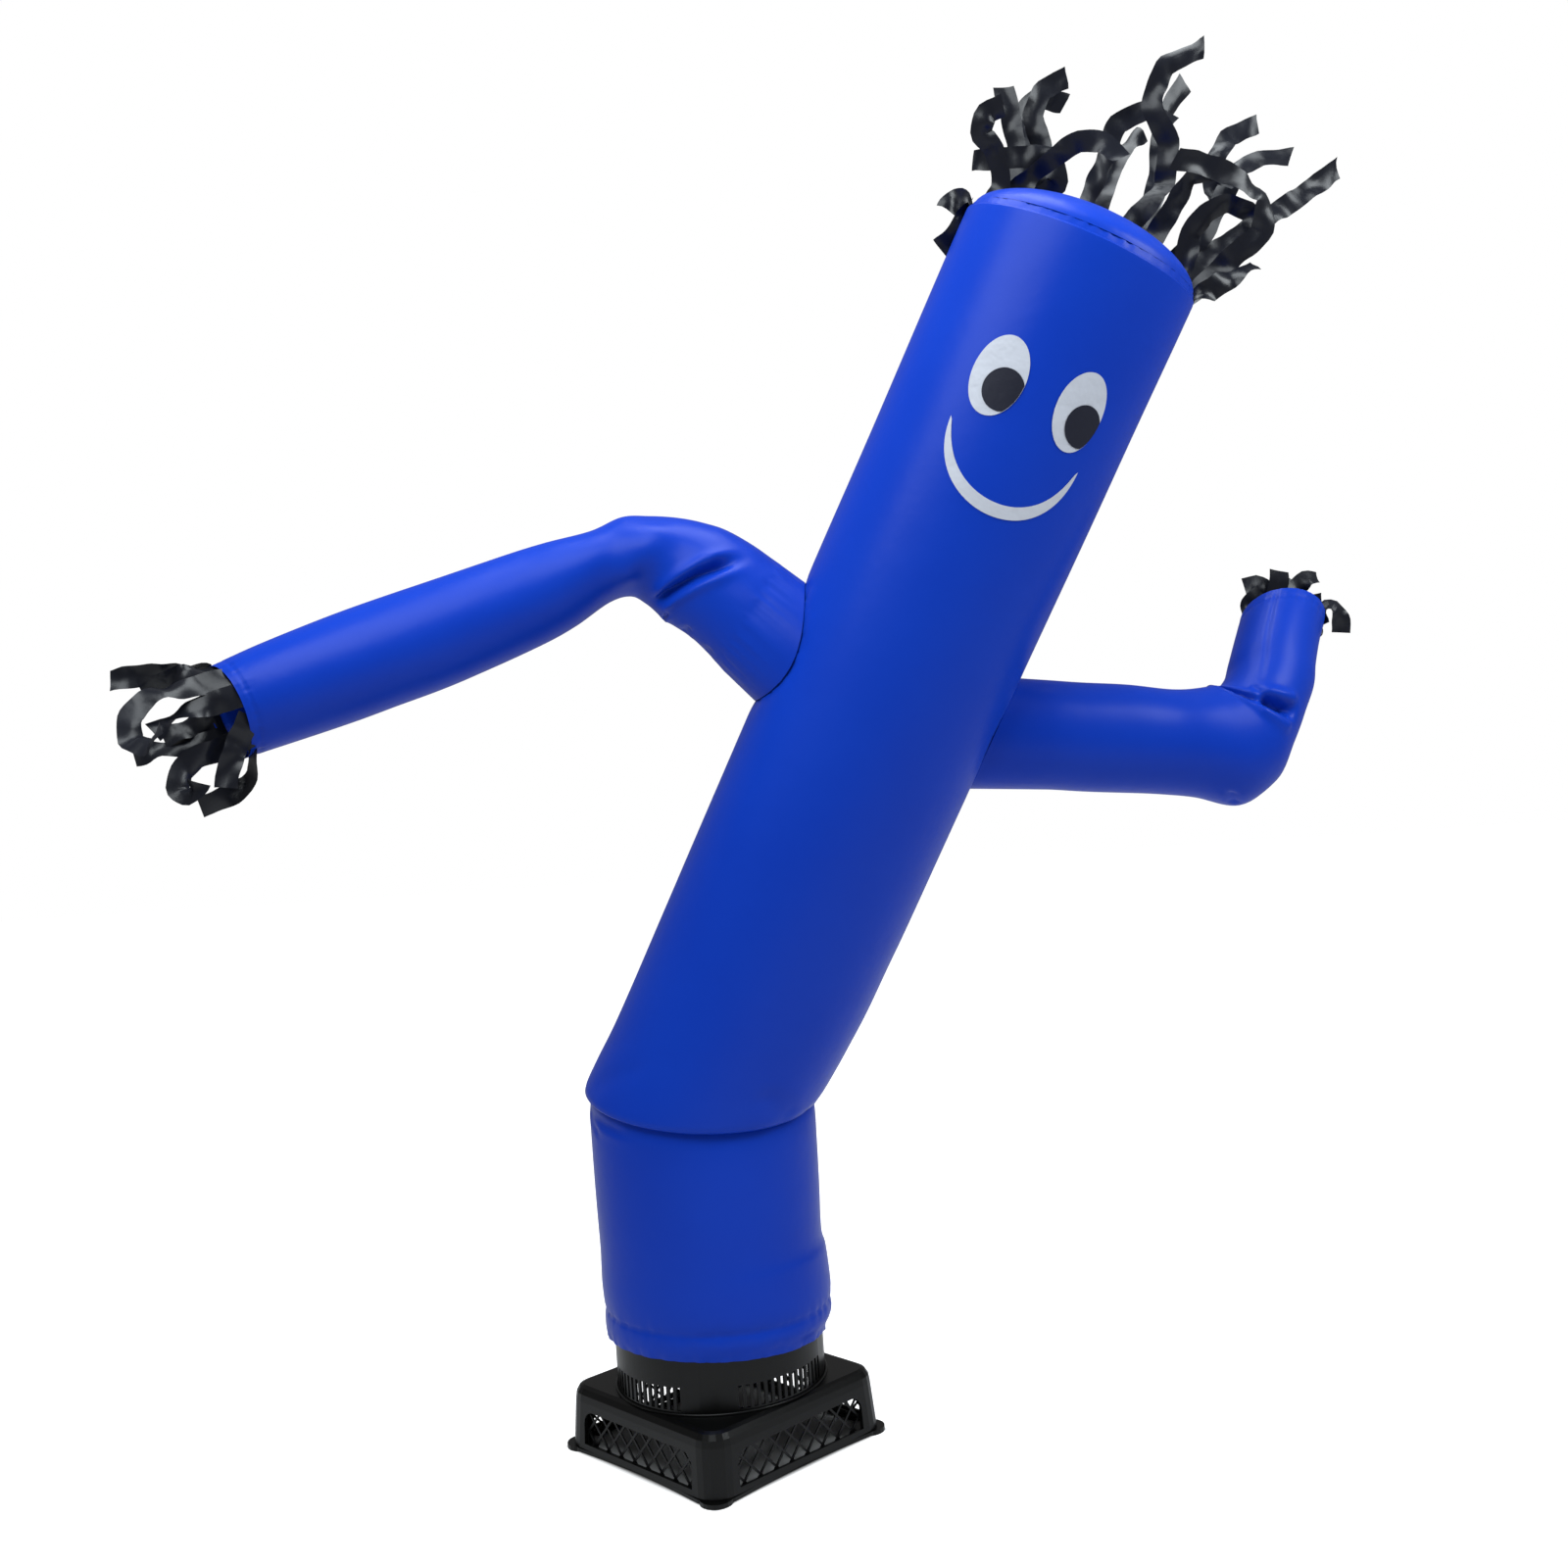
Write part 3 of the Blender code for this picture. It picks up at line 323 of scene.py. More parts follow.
LEFT_ARM = [
    Section(0.1180, -0.060, 0.9500, -60, 0, 0.0715, 0.0670),      # shoulder
    Section(0.0985, -0.058, 0.9695, -56, 0, 0.0680, 0.0640),
    Section(0.0675, -0.055, 1.0010, -53, 0, 0.0640, 0.0620),
    Section(0.0400, -0.052, 1.0210, -57, 2, 0.0625, 0.0605),
    Section(0.0215, -0.050, 1.0300, -63, 4, 0.0605, 0.0595),      # side of the elbow's deep fold
    Section(0.0030, -0.048, 1.0385, -73, 6, 0.0560, 0.0590),
    Section(-0.0210, -0.045, 1.0470, -85, 10, 0.0500, 0.0590),
    Section(-0.0450, -0.0455, 1.0520, -95, 13, 0.0455, 0.0585),
    Section(-0.0760, -0.050, 1.0420, -104, 15, 0.0420, 0.0580),   # elbow ridge
    Section(-0.1241, -0.057, 1.0230, -109, 16, 0.0505, 0.0570),
    Section(-0.1691, -0.066, 1.0060, -109, 16, 0.0552, 0.0570),
    Section(-0.2562, -0.090, 0.9747, -109, 16, 0.0596, 0.0590),
    Section(-0.3413, -0.113, 0.9469, -109, 17, 0.0600, 0.0590),
    Section(-0.4237, -0.138, 0.9185, -109, 19, 0.0574, 0.0570),
    Section(-0.4817, -0.157, 0.8975, -110, 36, 0.0531, 0.0545),   # open cuff
]
RIGHT_ARM = [
    Section(0.3850, -0.010, 0.8200, 97, 0, 0.0660, 0.0640),       # shoulder
    Section(0.4350, -0.008, 0.8150, 96, 0, 0.0648, 0.0640),
    Section(0.4739, -0.004, 0.8102, 96, 0, 0.0644, 0.0635),
    Section(0.5263, 0.003, 0.8045, 96, 0, 0.0640, 0.0630),
    Section(0.5786, 0.010, 0.7975, 96, 0, 0.0632, 0.0625),
    Section(0.6140, 0.012, 0.7940, 92, 0, 0.0655, 0.0625),
    Section(0.6490, 0.016, 0.7890, 80, -3, 0.0735, 0.0625),
    Section(0.6715, 0.022, 0.8010, 60, -8, 0.0700, 0.0610),
    Section(0.6870, 0.030, 0.8190, 42, -14, 0.0585, 0.0590),      # elbow
    Section(0.7015, 0.042, 0.8360, 24, -24, 0.0540, 0.0570),
    Section(0.7180, 0.058, 0.8580, 12, -34, 0.0535, 0.0550),
    Section(0.7278, 0.074, 0.8810, 9, -38, 0.0524, 0.0540),
    Section(0.7440, 0.100, 0.9120, 8, -41, 0.0519, 0.0535),
    Section(0.7608, 0.126, 0.9400, 8, -44, 0.0525, 0.0530),       # open cuff
]
print("sections:", len(BODY), len(LEFT_ARM), len(RIGHT_ARM))

# %% [markdown]
# Between two sections every value follows a Catmull-Rom curve, which passes through all of
# them without a corner. A ring's place is then its middle plus two half widths.

# %% Rings along a tube
def between(table, at):
    """The section at a fractional place in a table."""
    n = min(int(at), len(table) - 2)
    t = at - n
    a, b = table[max(n - 1, 0)], table[n]
    c, d = table[n + 1], table[min(n + 2, len(table) - 1)]
    values = []
    for p, q, r, s in zip(a, b, c, d):
        values.append(q + 0.5 * t * (r - p + t * (2 * p - 5 * q + 4 * r - s + t * (3 * q - 3 * r + s - p))))
    return Section(*values)


def ring_axes(section):
    """A section's normal, its direction across and its direction in depth."""
    lean, turn = math.radians(section.lean), math.radians(section.turn)
    normal = Vector((math.sin(lean) * math.cos(turn), -math.sin(turn), math.cos(lean) * math.cos(turn)))
    across = Vector((math.cos(lean), 0.0, -math.sin(lean)))
    return normal, across, normal.cross(across)


def middle(section):
    """The middle of a section's ring, in the model's frame."""
    return blower_axis + Vector((section.x, section.y, section.z))


def on_ring(section, side, out=0.0):
    """The place at a number of degrees round a ring, moved out of it."""
    _, across, deep = ring_axes(section)
    angle = math.radians(side)
    return (middle(section) + across * (section.across + out) * math.cos(angle)
            + deep * (section.deep + out) * math.sin(angle))


def rows_along(table, spacing):
    """Sections spaced evenly along a tube, each with its place in the table and its distance."""
    rows, distance, last = [], 0.0, middle(table[0])
    for n in range(len(table) - 1):
        length = (middle(table[n + 1]) - middle(table[n])).length
        length = max(length, abs(table[n + 1].across - table[n].across))
        steps = max(2, round(length / spacing))
        for i in range(steps + (n == len(table) - 2)):
            section = between(table, n + i / steps)
            distance += (middle(section) - last).length
            last = middle(section)
            rows.append((n + i / steps, distance, section))
    return rows


print("body length along its middle: %.3f m" % rows_along(BODY, 0.01)[-1][1])

# %% [markdown]
# Folds and creases are drawn as lines on the unrolled cloth. Each one runs from one point to
# another, given as degrees round the tube and metres along it, and presses the cloth in along
# a narrow valley with a soft shoulder on both sides. Seams pucker: the thread is shorter than
# the cloth, which gathers into small waves that fade away from it.

# %% Folds and puckers
Fold = namedtuple("Fold", "side_1 up_1 side_2 up_2 width depth")


def fold_depth(folds, side, up, radius):
    """How far the folds press a point in, from its place on the unrolled cloth."""
    depth = 0.0
    for fold in folds:
        start_side = (side - fold.side_1 + 180.0) % 360.0 - 180.0
        run_side = (fold.side_2 - fold.side_1 + 180.0) % 360.0 - 180.0
        reach = math.radians(1.0) * radius
        px, py = start_side * reach, up - fold.up_1
        rx, ry = run_side * reach, fold.up_2 - fold.up_1
        length = math.hypot(rx, ry)
        share = (px * rx + py * ry) / (length * length)
        if share < -0.3 or share > 1.3:
            continue
        away = (px * ry - py * rx) / length / fold.width
        if abs(away) > 4.0:
            continue
        # Full depth over the middle half of the line, fading softly at both ends.
        taper = math.exp(-max(0.0, abs(share - 0.5) - 0.28) ** 2 / 0.03)
        valley = math.exp(-away * away) - 0.28 * math.exp(-((abs(away) - 1.8) ** 2))
        depth += fold.depth * taper * valley
    return depth


def pucker(place, fade, away, depth, wave=0.012):
    """Small gathers beside a seam: place runs along the seam and away is the distance from it."""
    if away > fade * 4.0:
        return 0.0
    gather = noise.noise(Vector((place / wave, 3.7, away / (wave * 2.5))))
    fine = noise.noise(Vector((place / wave * 2.3, 8.1, away / wave)))
    return (gather + 0.5 * fine) * depth * math.exp(-away / fade)


def seam_groove(away, width, depth):
    """The narrow valley that a line of stitches pulls into blown cloth."""
    return depth * math.exp(-(away / width) ** 2)


print("a 2 mm fold at its middle: %.4f m" % fold_depth([Fold(0, 0.0, 10, 0.0, 0.004, 0.002)], 5, 0.0, 0.13))

# %% [markdown]
# One function sews a tube: it places the rows, lets a second function say how far each point
# is pressed in, and writes the cloth's own metres into a UV map for the weave.

# %% Sewing a tube
def link(name, mesh, material, node_names, smooth=True):
    """Makes an object of a mesh that stands for CAD nodes and rides on the body."""
    mesh.materials.append(material)
    if smooth:
        mesh.shade_smooth()
    piece = bpy.data.objects.new(name, mesh)
    bpy.context.scene.collection.objects.link(piece)
    if node_names:
        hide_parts(*node_names)
    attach(piece, "root")
    return piece


def grid_mesh(name, grid, cloth, closed=True):
    """A mesh from rows of points and the cloth's own metres at each of them."""
    count = len(grid[0])
    verts = [p for row in grid for p in row]
    faces, corners = [], []
    for n in range(len(grid) - 1):
        for i in range(count if closed else count - 1):
            j = (i + 1) % count
            faces.append((n * count + i, n * count + j, (n + 1) * count + j, (n + 1) * count + i))
            wrap = i + 1
            corners += [cloth(n, i), cloth(n, wrap), cloth(n + 1, wrap), cloth(n + 1, i)]
    mesh = bpy.data.meshes.new(name)
    mesh.from_pydata(verts, [], faces)
    layer = mesh.uv_layers.new(name="cloth_metres")
    for loop, place in zip(layer.data, corners):
        loop.uv = place
    return mesh


def tube_grid(table, spacing, columns, pressed):
    """Rows of points for a tube; pressed gives how far a point goes in."""
    rows = rows_along(table, spacing)
    grid = []
    for at, up, section in rows:
        _, across, deep = ring_axes(section)
        centre, ring = middle(section), []
        for i in range(columns):
            side = 360.0 * i / columns
            angle = math.radians(side)
            plain = centre + across * section.across * math.cos(angle) + deep * section.deep * math.sin(angle)
            inward = pressed(at, up, side, plain)
            ring.append(plain - (plain - centre).normalized() * inward)
        grid.append(ring)
    return rows, grid


SMALL_HOLE = 0.006                       # metres from the middle


def close_middle(mesh, centre):
    """Closes the small hole that rings leave round a point."""
    edit = bmesh.new()
    edit.from_mesh(mesh)
    inner = []
    for edge in edit.edges:
        if edge.is_boundary and (edge.verts[0].co - centre).length < SMALL_HOLE:
            inner.append(edge)
    bmesh.ops.holes_fill(edit, edges=inner)
    edit.to_mesh(mesh)
    edit.free()


def tree_of(grid):
    """A search tree of a grid's surface, to set other pieces against."""
    count = len(grid[0])
    verts = [p for row in grid for p in row]
    faces = []
    for n in range(len(grid) - 1):
        for i in range(count):
            j = (i + 1) % count
            faces.append((n * count + i, n * count + j, (n + 1) * count + j, (n + 1) * count + i))
    return BVHTree.FromPolygons(verts, faces)


print("helpers for sewing are ready")

# %% [markdown]
# Each sleeve starts where it meets the body, on a seam that is not flat: it follows the round
# of the body. Rays from the sleeve's first free ring find that line on a plain copy of the
# body, and the body is pulled in a little along it, as a sewn seam does.

# %% Where the sleeves meet the body
SLEEVE_COLUMNS = 168
plain_rows, plain_body = tube_grid(BODY, 0.012, 96, lambda at, up, side, plain: 0.0)
plain_tree = tree_of(plain_body)


def sleeve_seam(table):
    """The line on the body where a sleeve is sewn on, one point for each of its columns."""
    seam = []
    for i in range(SLEEVE_COLUMNS):
        side = 360.0 * i / SLEEVE_COLUMNS
        outer, inner = on_ring(table[1], side), on_ring(table[0], side)
        hit, _, _, _ = plain_tree.ray_cast(outer, (inner - outer).normalized())
        seam.append(hit)
    return seam


left_seam, right_seam = sleeve_seam(LEFT_ARM), sleeve_seam(RIGHT_ARM)
seam_finder = KDTree(2 * SLEEVE_COLUMNS)
for n, point in enumerate(left_seam + right_seam):
    seam_finder.insert(point, n)
seam_finder.balance()
print("shoulder seams:", len(left_seam), len(right_seam), "points")

# %% [markdown]
# The body is one tube. Its hem is turned up 35 mm, stitched, and gathered onto the collar. A
# quarter of the way up, the air pressure has given way and the tube kinks: the upper part
# hangs over the lower one in a soft lip.

# %% Body tube
HEM_STITCH_UP = 0.0352
BODY_COLUMNS, BODY_SPACING = 240, 0.0037
BODY_RADIUS, BODY_GIRTH = 0.134, 0.847
LIP_AT, LIP_HOLLOW = 12.5, 0.0050        # the lip's place in the table, and how far it is pulled in
SHOULDERS_FROM, SHOULDERS_TO = 0.5, 1.1  # metres up the tube
SEAM_STEP = 0.0024                       # metres of shoulder seam to each sleeve column
BODY_FOLDS = [
    Fold(-176, 0.272, -126, 0.268, 0.005, 0.0026),
    Fold(-150, 0.256, -170, 0.266, 0.005, 0.0018),
    Fold(-70, 0.340, -42, 0.300, 0.011, 0.0022),
    Fold(-20, 0.300, -48, 0.283, 0.006, 0.0020),
    Fold(-160, 0.318, -128, 0.360, 0.012, 0.0014),
]
body_length = plain_rows[-1][1]


def body_pressed(at, up, side, plain):
    """Everything that shapes the body's cloth away from plain rings."""
    around = math.radians(side) * BODY_RADIUS
    inward = fold_depth(BODY_FOLDS, side, up, BODY_RADIUS)
    away = abs((side + 180.0) % 360.0 - 180.0)
    inward += LIP_HOLLOW * math.exp(-((at - LIP_AT) / 1.1) ** 2 - (away / 38.0) ** 2)
    inward += seam_groove(up - HEM_STITCH_UP, 0.0026, 0.0016)
    inward += pucker(around, 0.010, abs(up - HEM_STITCH_UP), 0.0015, 0.010)
    inward += pucker(around, 0.009, up, 0.0022, 0.011)
    inward += seam_groove(body_length - up, 0.003, 0.0010)
    inward += pucker(around, 0.007, body_length - up, 0.0013, 0.008)
    inward += 0.0010 * noise.noise(Vector((plain.x * 7.0, plain.y * 7.0, plain.z * 4.0)))
    if SHOULDERS_FROM < up < SHOULDERS_TO:
        _, index, distance = seam_finder.find(plain)
        inward += seam_groove(distance, 0.009, 0.0022)
        inward += pucker(index * SEAM_STEP, 0.010, distance, 0.0020, 0.011)
    return inward


body_rows, body_grid = tube_grid(BODY, BODY_SPACING, BODY_COLUMNS, body_pressed)
body_mesh = grid_mesh("body_cloth", body_grid, lambda n, i: (i * BODY_GIRTH / BODY_COLUMNS, body_rows[n][1]))
body_cloth = link("body_cloth", body_mesh, blue_nylon, ["body_tube"])
body_tree = tree_of(body_grid)
print("body cloth:", len(body_mesh.polygons), "faces")

# %% [markdown]
# The sleeves are narrower tubes that have lost some air at the elbow. The left one hangs
# forward and shows its open cuff; the right one is bent up and leans back.

# %% Sleeves
SLEEVE_SPACING = 0.0032
SLEEVE_RADIUS, SLEEVE_GIRTH = 0.06, 0.377
SHOULDER_UP = 0.030                      # where a sleeve's own puckers begin to fade
CUFF_STITCH = 0.013                      # the stitch line's distance from the cuff's edge
LEFT_FOLDS = [
    Fold(-56, 0.078, -152, 0.158, 0.0070, 0.0140),                # the elbow's deep fold
    Fold(-40, 0.155, -146, 0.222, 0.0190, -0.0060),               # ridge above it
    Fold(-150, 0.124, -180, 0.132, 0.0040, 0.0045),
    Fold(-155, 0.050, -178, 0.056, 0.0060, 0.0022),
    Fold(-152, 0.084, -176, 0.092, 0.0060, 0.0026),
]
RIGHT_FOLDS = [
    Fold(-172, 0.302, -104, 0.318, 0.0040, 0.0070),               # upper arm against forearm
    Fold(-108, 0.321, -56, 0.330, 0.0055, 0.0200),                # pocket
    Fold(-122, 0.333, -108, 0.326, 0.0040, 0.0016),
    Fold(-113, 0.345, -112, 0.500, 0.0032, 0.0009),               # lengthwise seam
    Fold(-40, 0.256, -14, 0.262, 0.0045, 0.0036),                 # notch under the elbow
    Fold(-20, 0.285, 25, 0.285, 0.0090, 0.0012),
]


def sew_sleeve(name, table, folds, seam, node):
    """One sleeve from its shoulder seam to its open cuff."""
    length = rows_along(table, SLEEVE_SPACING)[-1][1]

    def pressed(at, up, side, plain):
        """Everything that shapes this sleeve's cloth away from plain rings."""
        around = math.radians(side) * SLEEVE_RADIUS
        inward = fold_depth(folds, side, up, SLEEVE_RADIUS)
        inward += pucker(around, 0.010, max(0.0, up - SHOULDER_UP), 0.0018, 0.011)
        inward += seam_groove(length - up - CUFF_STITCH, 0.0025, 0.0009)
        inward += pucker(around, 0.007, abs(length - up - CUFF_STITCH), 0.0012, 0.009)
        inward += 0.0009 * noise.noise(Vector((plain.x * 12.0, plain.y * 12.0, plain.z * 12.0)))
        return inward

    rows, grid = tube_grid(table, SLEEVE_SPACING, SLEEVE_COLUMNS, pressed)
    first_free = next(n for n, row in enumerate(rows) if row[0] >= 1.0)
    for n in range(first_free):
        for i in range(SLEEVE_COLUMNS):
            grid[n][i] = seam[i].lerp(grid[first_free][i], n / first_free)
    mesh = grid_mesh(name, grid, lambda n, i: (i * SLEEVE_GIRTH / SLEEVE_COLUMNS, rows[n][1]))
    sleeve = link(name, mesh, blue_nylon, [node])
    return sleeve, length


sleeve_left, left_length = sew_sleeve("sleeve_left", LEFT_ARM, LEFT_FOLDS, left_seam, "arm_left")
sleeve_right, right_length = sew_sleeve("sleeve_right", RIGHT_ARM, RIGHT_FOLDS, right_seam, "arm_right")
print("sleeves: %.3f m and %.3f m long" % (left_length, right_length))

# %% [markdown]
# The head is closed by a round panel, sewn to the tube's edge and blown up into a low dome.

# %% Head top
DOME_COLUMNS, DOME_RINGS = 176, 26
DOME_RISE, DOME_FULLNESS, DOME_ROUNDNESS = 0.042, 2.2, 0.62
DOME_INSET, DOME_LIFT = 0.0006, 0.0002   # how its edge is set in and up from the head seam
DOME_RADIUS = 0.132
DOME_WEAVE = 0.13                        # metres of weave from its middle to its edge


def head_dome():
    """Rings from the head seam up to the middle of the dome."""
    seam_ring = BODY[-1]
    normal, _, _ = ring_axes(seam_ring)
    grid, shares = [], []
    for n in range(DOME_RINGS + 1):
        share = 1.0 - (n / DOME_RINGS) ** 1.4 * 0.985
        up = DOME_LIFT + DOME_RISE * max(0.0, 1.0 - share ** DOME_FULLNESS) ** DOME_ROUNDNESS
        away = (1.0 - share) * DOME_RADIUS
        flat = seam_ring._replace(across=(seam_ring.across - DOME_INSET) * share,
                                  deep=(seam_ring.deep - DOME_INSET) * share)
        ring = []
        for i in range(DOME_COLUMNS):
            side = 360.0 * i / DOME_COLUMNS
            around = math.radians(side) * BODY_RADIUS
            ripple = pucker(around, 0.007, away, 0.0013, 0.008) * min(1.0, n / 3.0)
            ring.append(on_ring(flat, side) + normal * (up - ripple))
        grid.append(ring)
        shares.append(share)
    return grid, shares


dome_grid, dome_shares = head_dome()
dome_mesh = grid_mesh("head_dome", dome_grid, lambda n, i: (
    DOME_WEAVE * dome_shares[n] * math.cos(i * math.tau / DOME_COLUMNS),
    DOME_WEAVE * dome_shares[n] * math.sin(i * math.tau / DOME_COLUMNS)))
close_middle(dome_mesh, dome_grid[-1][0])
head_dome_cloth = link("head_dome_cloth", dome_mesh, blue_nylon, ["head_top_panel"])
print("head dome:", len(dome_mesh.polygons), "faces")

# %% [markdown]
# The face is patches of thin cloth, two tall oval eyes with round pupils that look down to the
# right, and a wide smile. Each patch is laid on the tube's real surface, half a millimetre
# off, and each pupil as much again above its eye.

# %% Face patches
FACE_TURN = 6.4
Patch = namedtuple("Patch", "name up side tall wide")
EYES = [
    Patch("eye_white_left", -0.1765, -20.5, 0.0435, 0.0295),
    Patch("eye_white_right", -0.1765, 20.5, 0.0435, 0.0295),
]
PUPILS = [
    Patch("pupil_left", -0.1885, -16.2, 0.0230, 0.0222),
    Patch("pupil_right", -0.1885, 24.8, 0.0230, 0.0222),
]
MOUTH_UP, MOUTH_DROP, MOUTH_HALF_TURN, MOUTH_THICK = -0.2325, 0.080, 33.3, 0.0145
HEAD_RADIUS = 0.1357
PATCH_THICKNESS, PATCH_OFF, PUPIL_OFF = 0.0004, 0.0006, 0.0012
PATCH_WEAVE = (0.19, 0.03)               # metres of weave along a patch's edge and in from it
OVAL_COLUMNS, SMILE_STEPS = 72, 64
PUPIL_INSIDE = 0.985                     # how near a pupil comes to its eye's outline


def on_head(up, side, off):
    """A place on the head's cloth: metres above the head seam, degrees from the front."""
    seam_ring = BODY[-1]
    normal, across, deep = ring_axes(seam_ring)
    angle = math.radians(side + FACE_TURN - 90.0)
    outward = across * math.cos(angle) + deep * math.sin(angle)
    axis = middle(seam_ring) + normal * up
    hit, _, _, _ = body_tree.ray_cast(axis + outward * 0.2, -outward)
    return hit + outward * off


def patch_piece(name, grid, closed, material, node):
    """A patch with the thickness of its cloth."""
    count = len(grid[0])
    mesh = grid_mesh(name, grid, lambda n, i: (
        i * PATCH_WEAVE[0] / count, n * PATCH_WEAVE[1] / len(grid)), closed)
    if closed:
        close_middle(mesh, grid[-1][0])
    patch = link(name, mesh, material, [node])
    edge = patch.modifiers.new("cloth_thickness", "SOLIDIFY")
    edge.thickness = PATCH_THICKNESS
    edge.offset = 0.0
    patch.modifiers.new("square_cut_edge", "EDGE_SPLIT").split_angle = math.radians(40.0)
    return patch


def oval(patch, off, inside=None):
    """Rows of an ellipse bent round the head, kept inside another patch's outline."""
    grid = []
    for share in (1.0, 0.8, 0.6, 0.4, 0.2, 0.05):
        row = []
        for i in range(OVAL_COLUMNS):
            angle = math.tau * i / OVAL_COLUMNS
            up = patch.up + patch.tall * share * math.sin(angle)
            side = patch.side + math.degrees(patch.wide * share * math.cos(angle) / HEAD_RADIUS)
            if inside:
                high = (up - inside.up) / inside.tall
                wide = math.radians(side - inside.side) * HEAD_RADIUS / inside.wide
                over = max(1.0, math.hypot(high, wide) / PUPIL_INSIDE)
                up = inside.up + (up - inside.up) / over
                side = inside.side + (side - inside.side) / over
            row.append(on_head(up, side, off))
        grid.append(row)
    return grid


face_patches = []
for patch, eye in zip(PUPILS, EYES):
    white = patch_piece(eye.name + "_cloth", oval(eye, PATCH_OFF), True, white_nylon, eye.name)
    dark = patch_piece(patch.name + "_cloth", oval(patch, PUPIL_OFF, eye), True, pupil_nylon,
                       patch.name)
    face_patches += [white, dark]

smile = []
for edge in (0.0, 0.25, 0.5, 0.75, 1.0):
    row = []
    for i in range(SMILE_STEPS + 1):
        angle = math.pi * i / SMILE_STEPS
        inward = MOUTH_THICK * edge * math.sin(angle) ** 0.6
        half_turn = MOUTH_HALF_TURN - math.degrees(inward / HEAD_RADIUS)
        drop = (MOUTH_DROP - inward) * math.sin(angle)
        row.append(on_head(MOUTH_UP - drop, -half_turn * math.cos(angle), PATCH_OFF))
    smile.append(row)
smile_cloth = patch_piece("smile_cloth", smile, False, white_nylon, "mouth")
print("face patches:", len(face_patches) + 1)

# %% [markdown]
# Hair and cuffs are ribbons cut from black nylon. They are thrown about by the air that
# escapes, so each has its own line: where it is sewn on, how long it is, which way it starts
# and how far it turns over each third of its length. A ribbon also twists and crumples.

# %% Ribbon lines
Strip = namedtuple("Strip", "root length head near bend_1 bend_2 bend_3 twist")
RIBBON_WIDTH = 0.0265
RIBBON_LEGS = 7                          # straight pieces that a ribbon's line is bent from
BAND_COLUMNS, BAND_HEIGHT, BAND_WEAVE = 60, 0.007, 0.3
ROOT_UP = 0.004                          # where the ribbons leave their band
ROW_STEP = 0.0055                        # metres of weave from one row to the next
HAIR_LIFT, HAIR_OUT = -0.004, 0.0035     # the band's lower edge above its seam, and off the cloth
CUFF_LIFT, CUFF_OUT = -0.009, -0.0035    # the same at a cuff, inside the sleeve
HAIR = [
    Strip(174, 0.058, -160, -4, 10, 15, 15, 20),
    Strip(165, 0.045, 5, 20, -60, -60, -30, 30),
    Strip(155, 0.150, 85, 16, -65, -50, 130, 30),
    Strip(146, 0.195, 46, 11, 4, 14, 88, 40),
    Strip(137, 0.215, 50, 5, 8, -172, -9, 15),
    Strip(127, 0.190, 46, -3, -36, -5, -6, 60),
    Strip(118, 0.235, 38, -4, -20, -30, 90, 30),
    Strip(109, 0.285, 40, -18, -30, -30, 140, 30),
    Strip(99, 0.265, 46, -2, -16, -3, 105, 40),
    Strip(90, 0.230, 42, -17, -14, 0, 32, 20),
    Strip(81, 0.330, 44, 8, 0, -80, 110, 30),
    Strip(71, 0.295, 56, -10, -24, -20, 30, 50),
    Strip(62, 0.210, 41, 14, -6, 4, 107, 30),
    Strip(53, 0.285, 56, -7, -8, -52, 78, 40),
    Strip(43, 0.255, 52, -2, -12, -10, 77, 70),
    Strip(34, 0.300, 42, -14, 10, 8, -8, 40),
    Strip(25, 0.188, 21, 8, -6, 65, 120, 30),
    Strip(15, 0.265, 46, 15, 6, -132, -25, 50),
    Strip(-3, 0.085, 56, -10, 4, 4, 0, 60),
]
LEFT_CUFF = [
    Strip(-166, 0.095, -192, 4, 32, 50, -2, 40),
    Strip(-138, 0.150, -116, 24, 6, -70, -180, 30),
    Strip(-111, 0.082, -155, 10, 0, -8, -8, 40),
    Strip(-83, 0.100, -110, 25, 5, -20, 0, 50),
    Strip(-55, 0.205, -103, 30, 0, -100, -150, 40),
    Strip(-27, 0.085, -86, 18, -14, -4, 0, 60),
    Strip(0, 0.108, -84, 10, -8, 2, -6, 50),
    Strip(83, 0.062, -100, 14, -5, -10, 0, 40),
    Strip(111, 0.100, -114, 16, 15, 0, -15, 60),
]
RIGHT_CUFF = [
    Strip(166, 0.052, 20, -6, 0, 25, 20, 20),
    Strip(138, 0.105, 32, -14, 0, -24, -140, 30),
    Strip(111, 0.104, 26, -2, -2, -10, -8, 40),
    Strip(83, 0.108, 10, -18, 2, 8, 12, 20),
    Strip(55, 0.110, 9, -6, -4, 6, 94, 40),
    Strip(28, 0.063, 11, -20, 0, 0, -10, 30),
    Strip(0, 0.080, -50, -8, 85, 120, 20, 20),
]


def curve_through(points, at):
    """A place on the line through a list of points, its corners partly rounded."""
    n = min(int(at), len(points) - 2)
    t = at - n
    p, q = points[max(n - 1, 0)], points[n]
    r, s = points[n + 1], points[min(n + 2, len(points) - 1)]
    round_place = q + 0.5 * t * (r - p + t * (2 * p - 5 * q + 4 * r - s + t * (3 * q - 3 * r + s - p)))
    return round_place.lerp(q.lerp(r, t), 0.55)


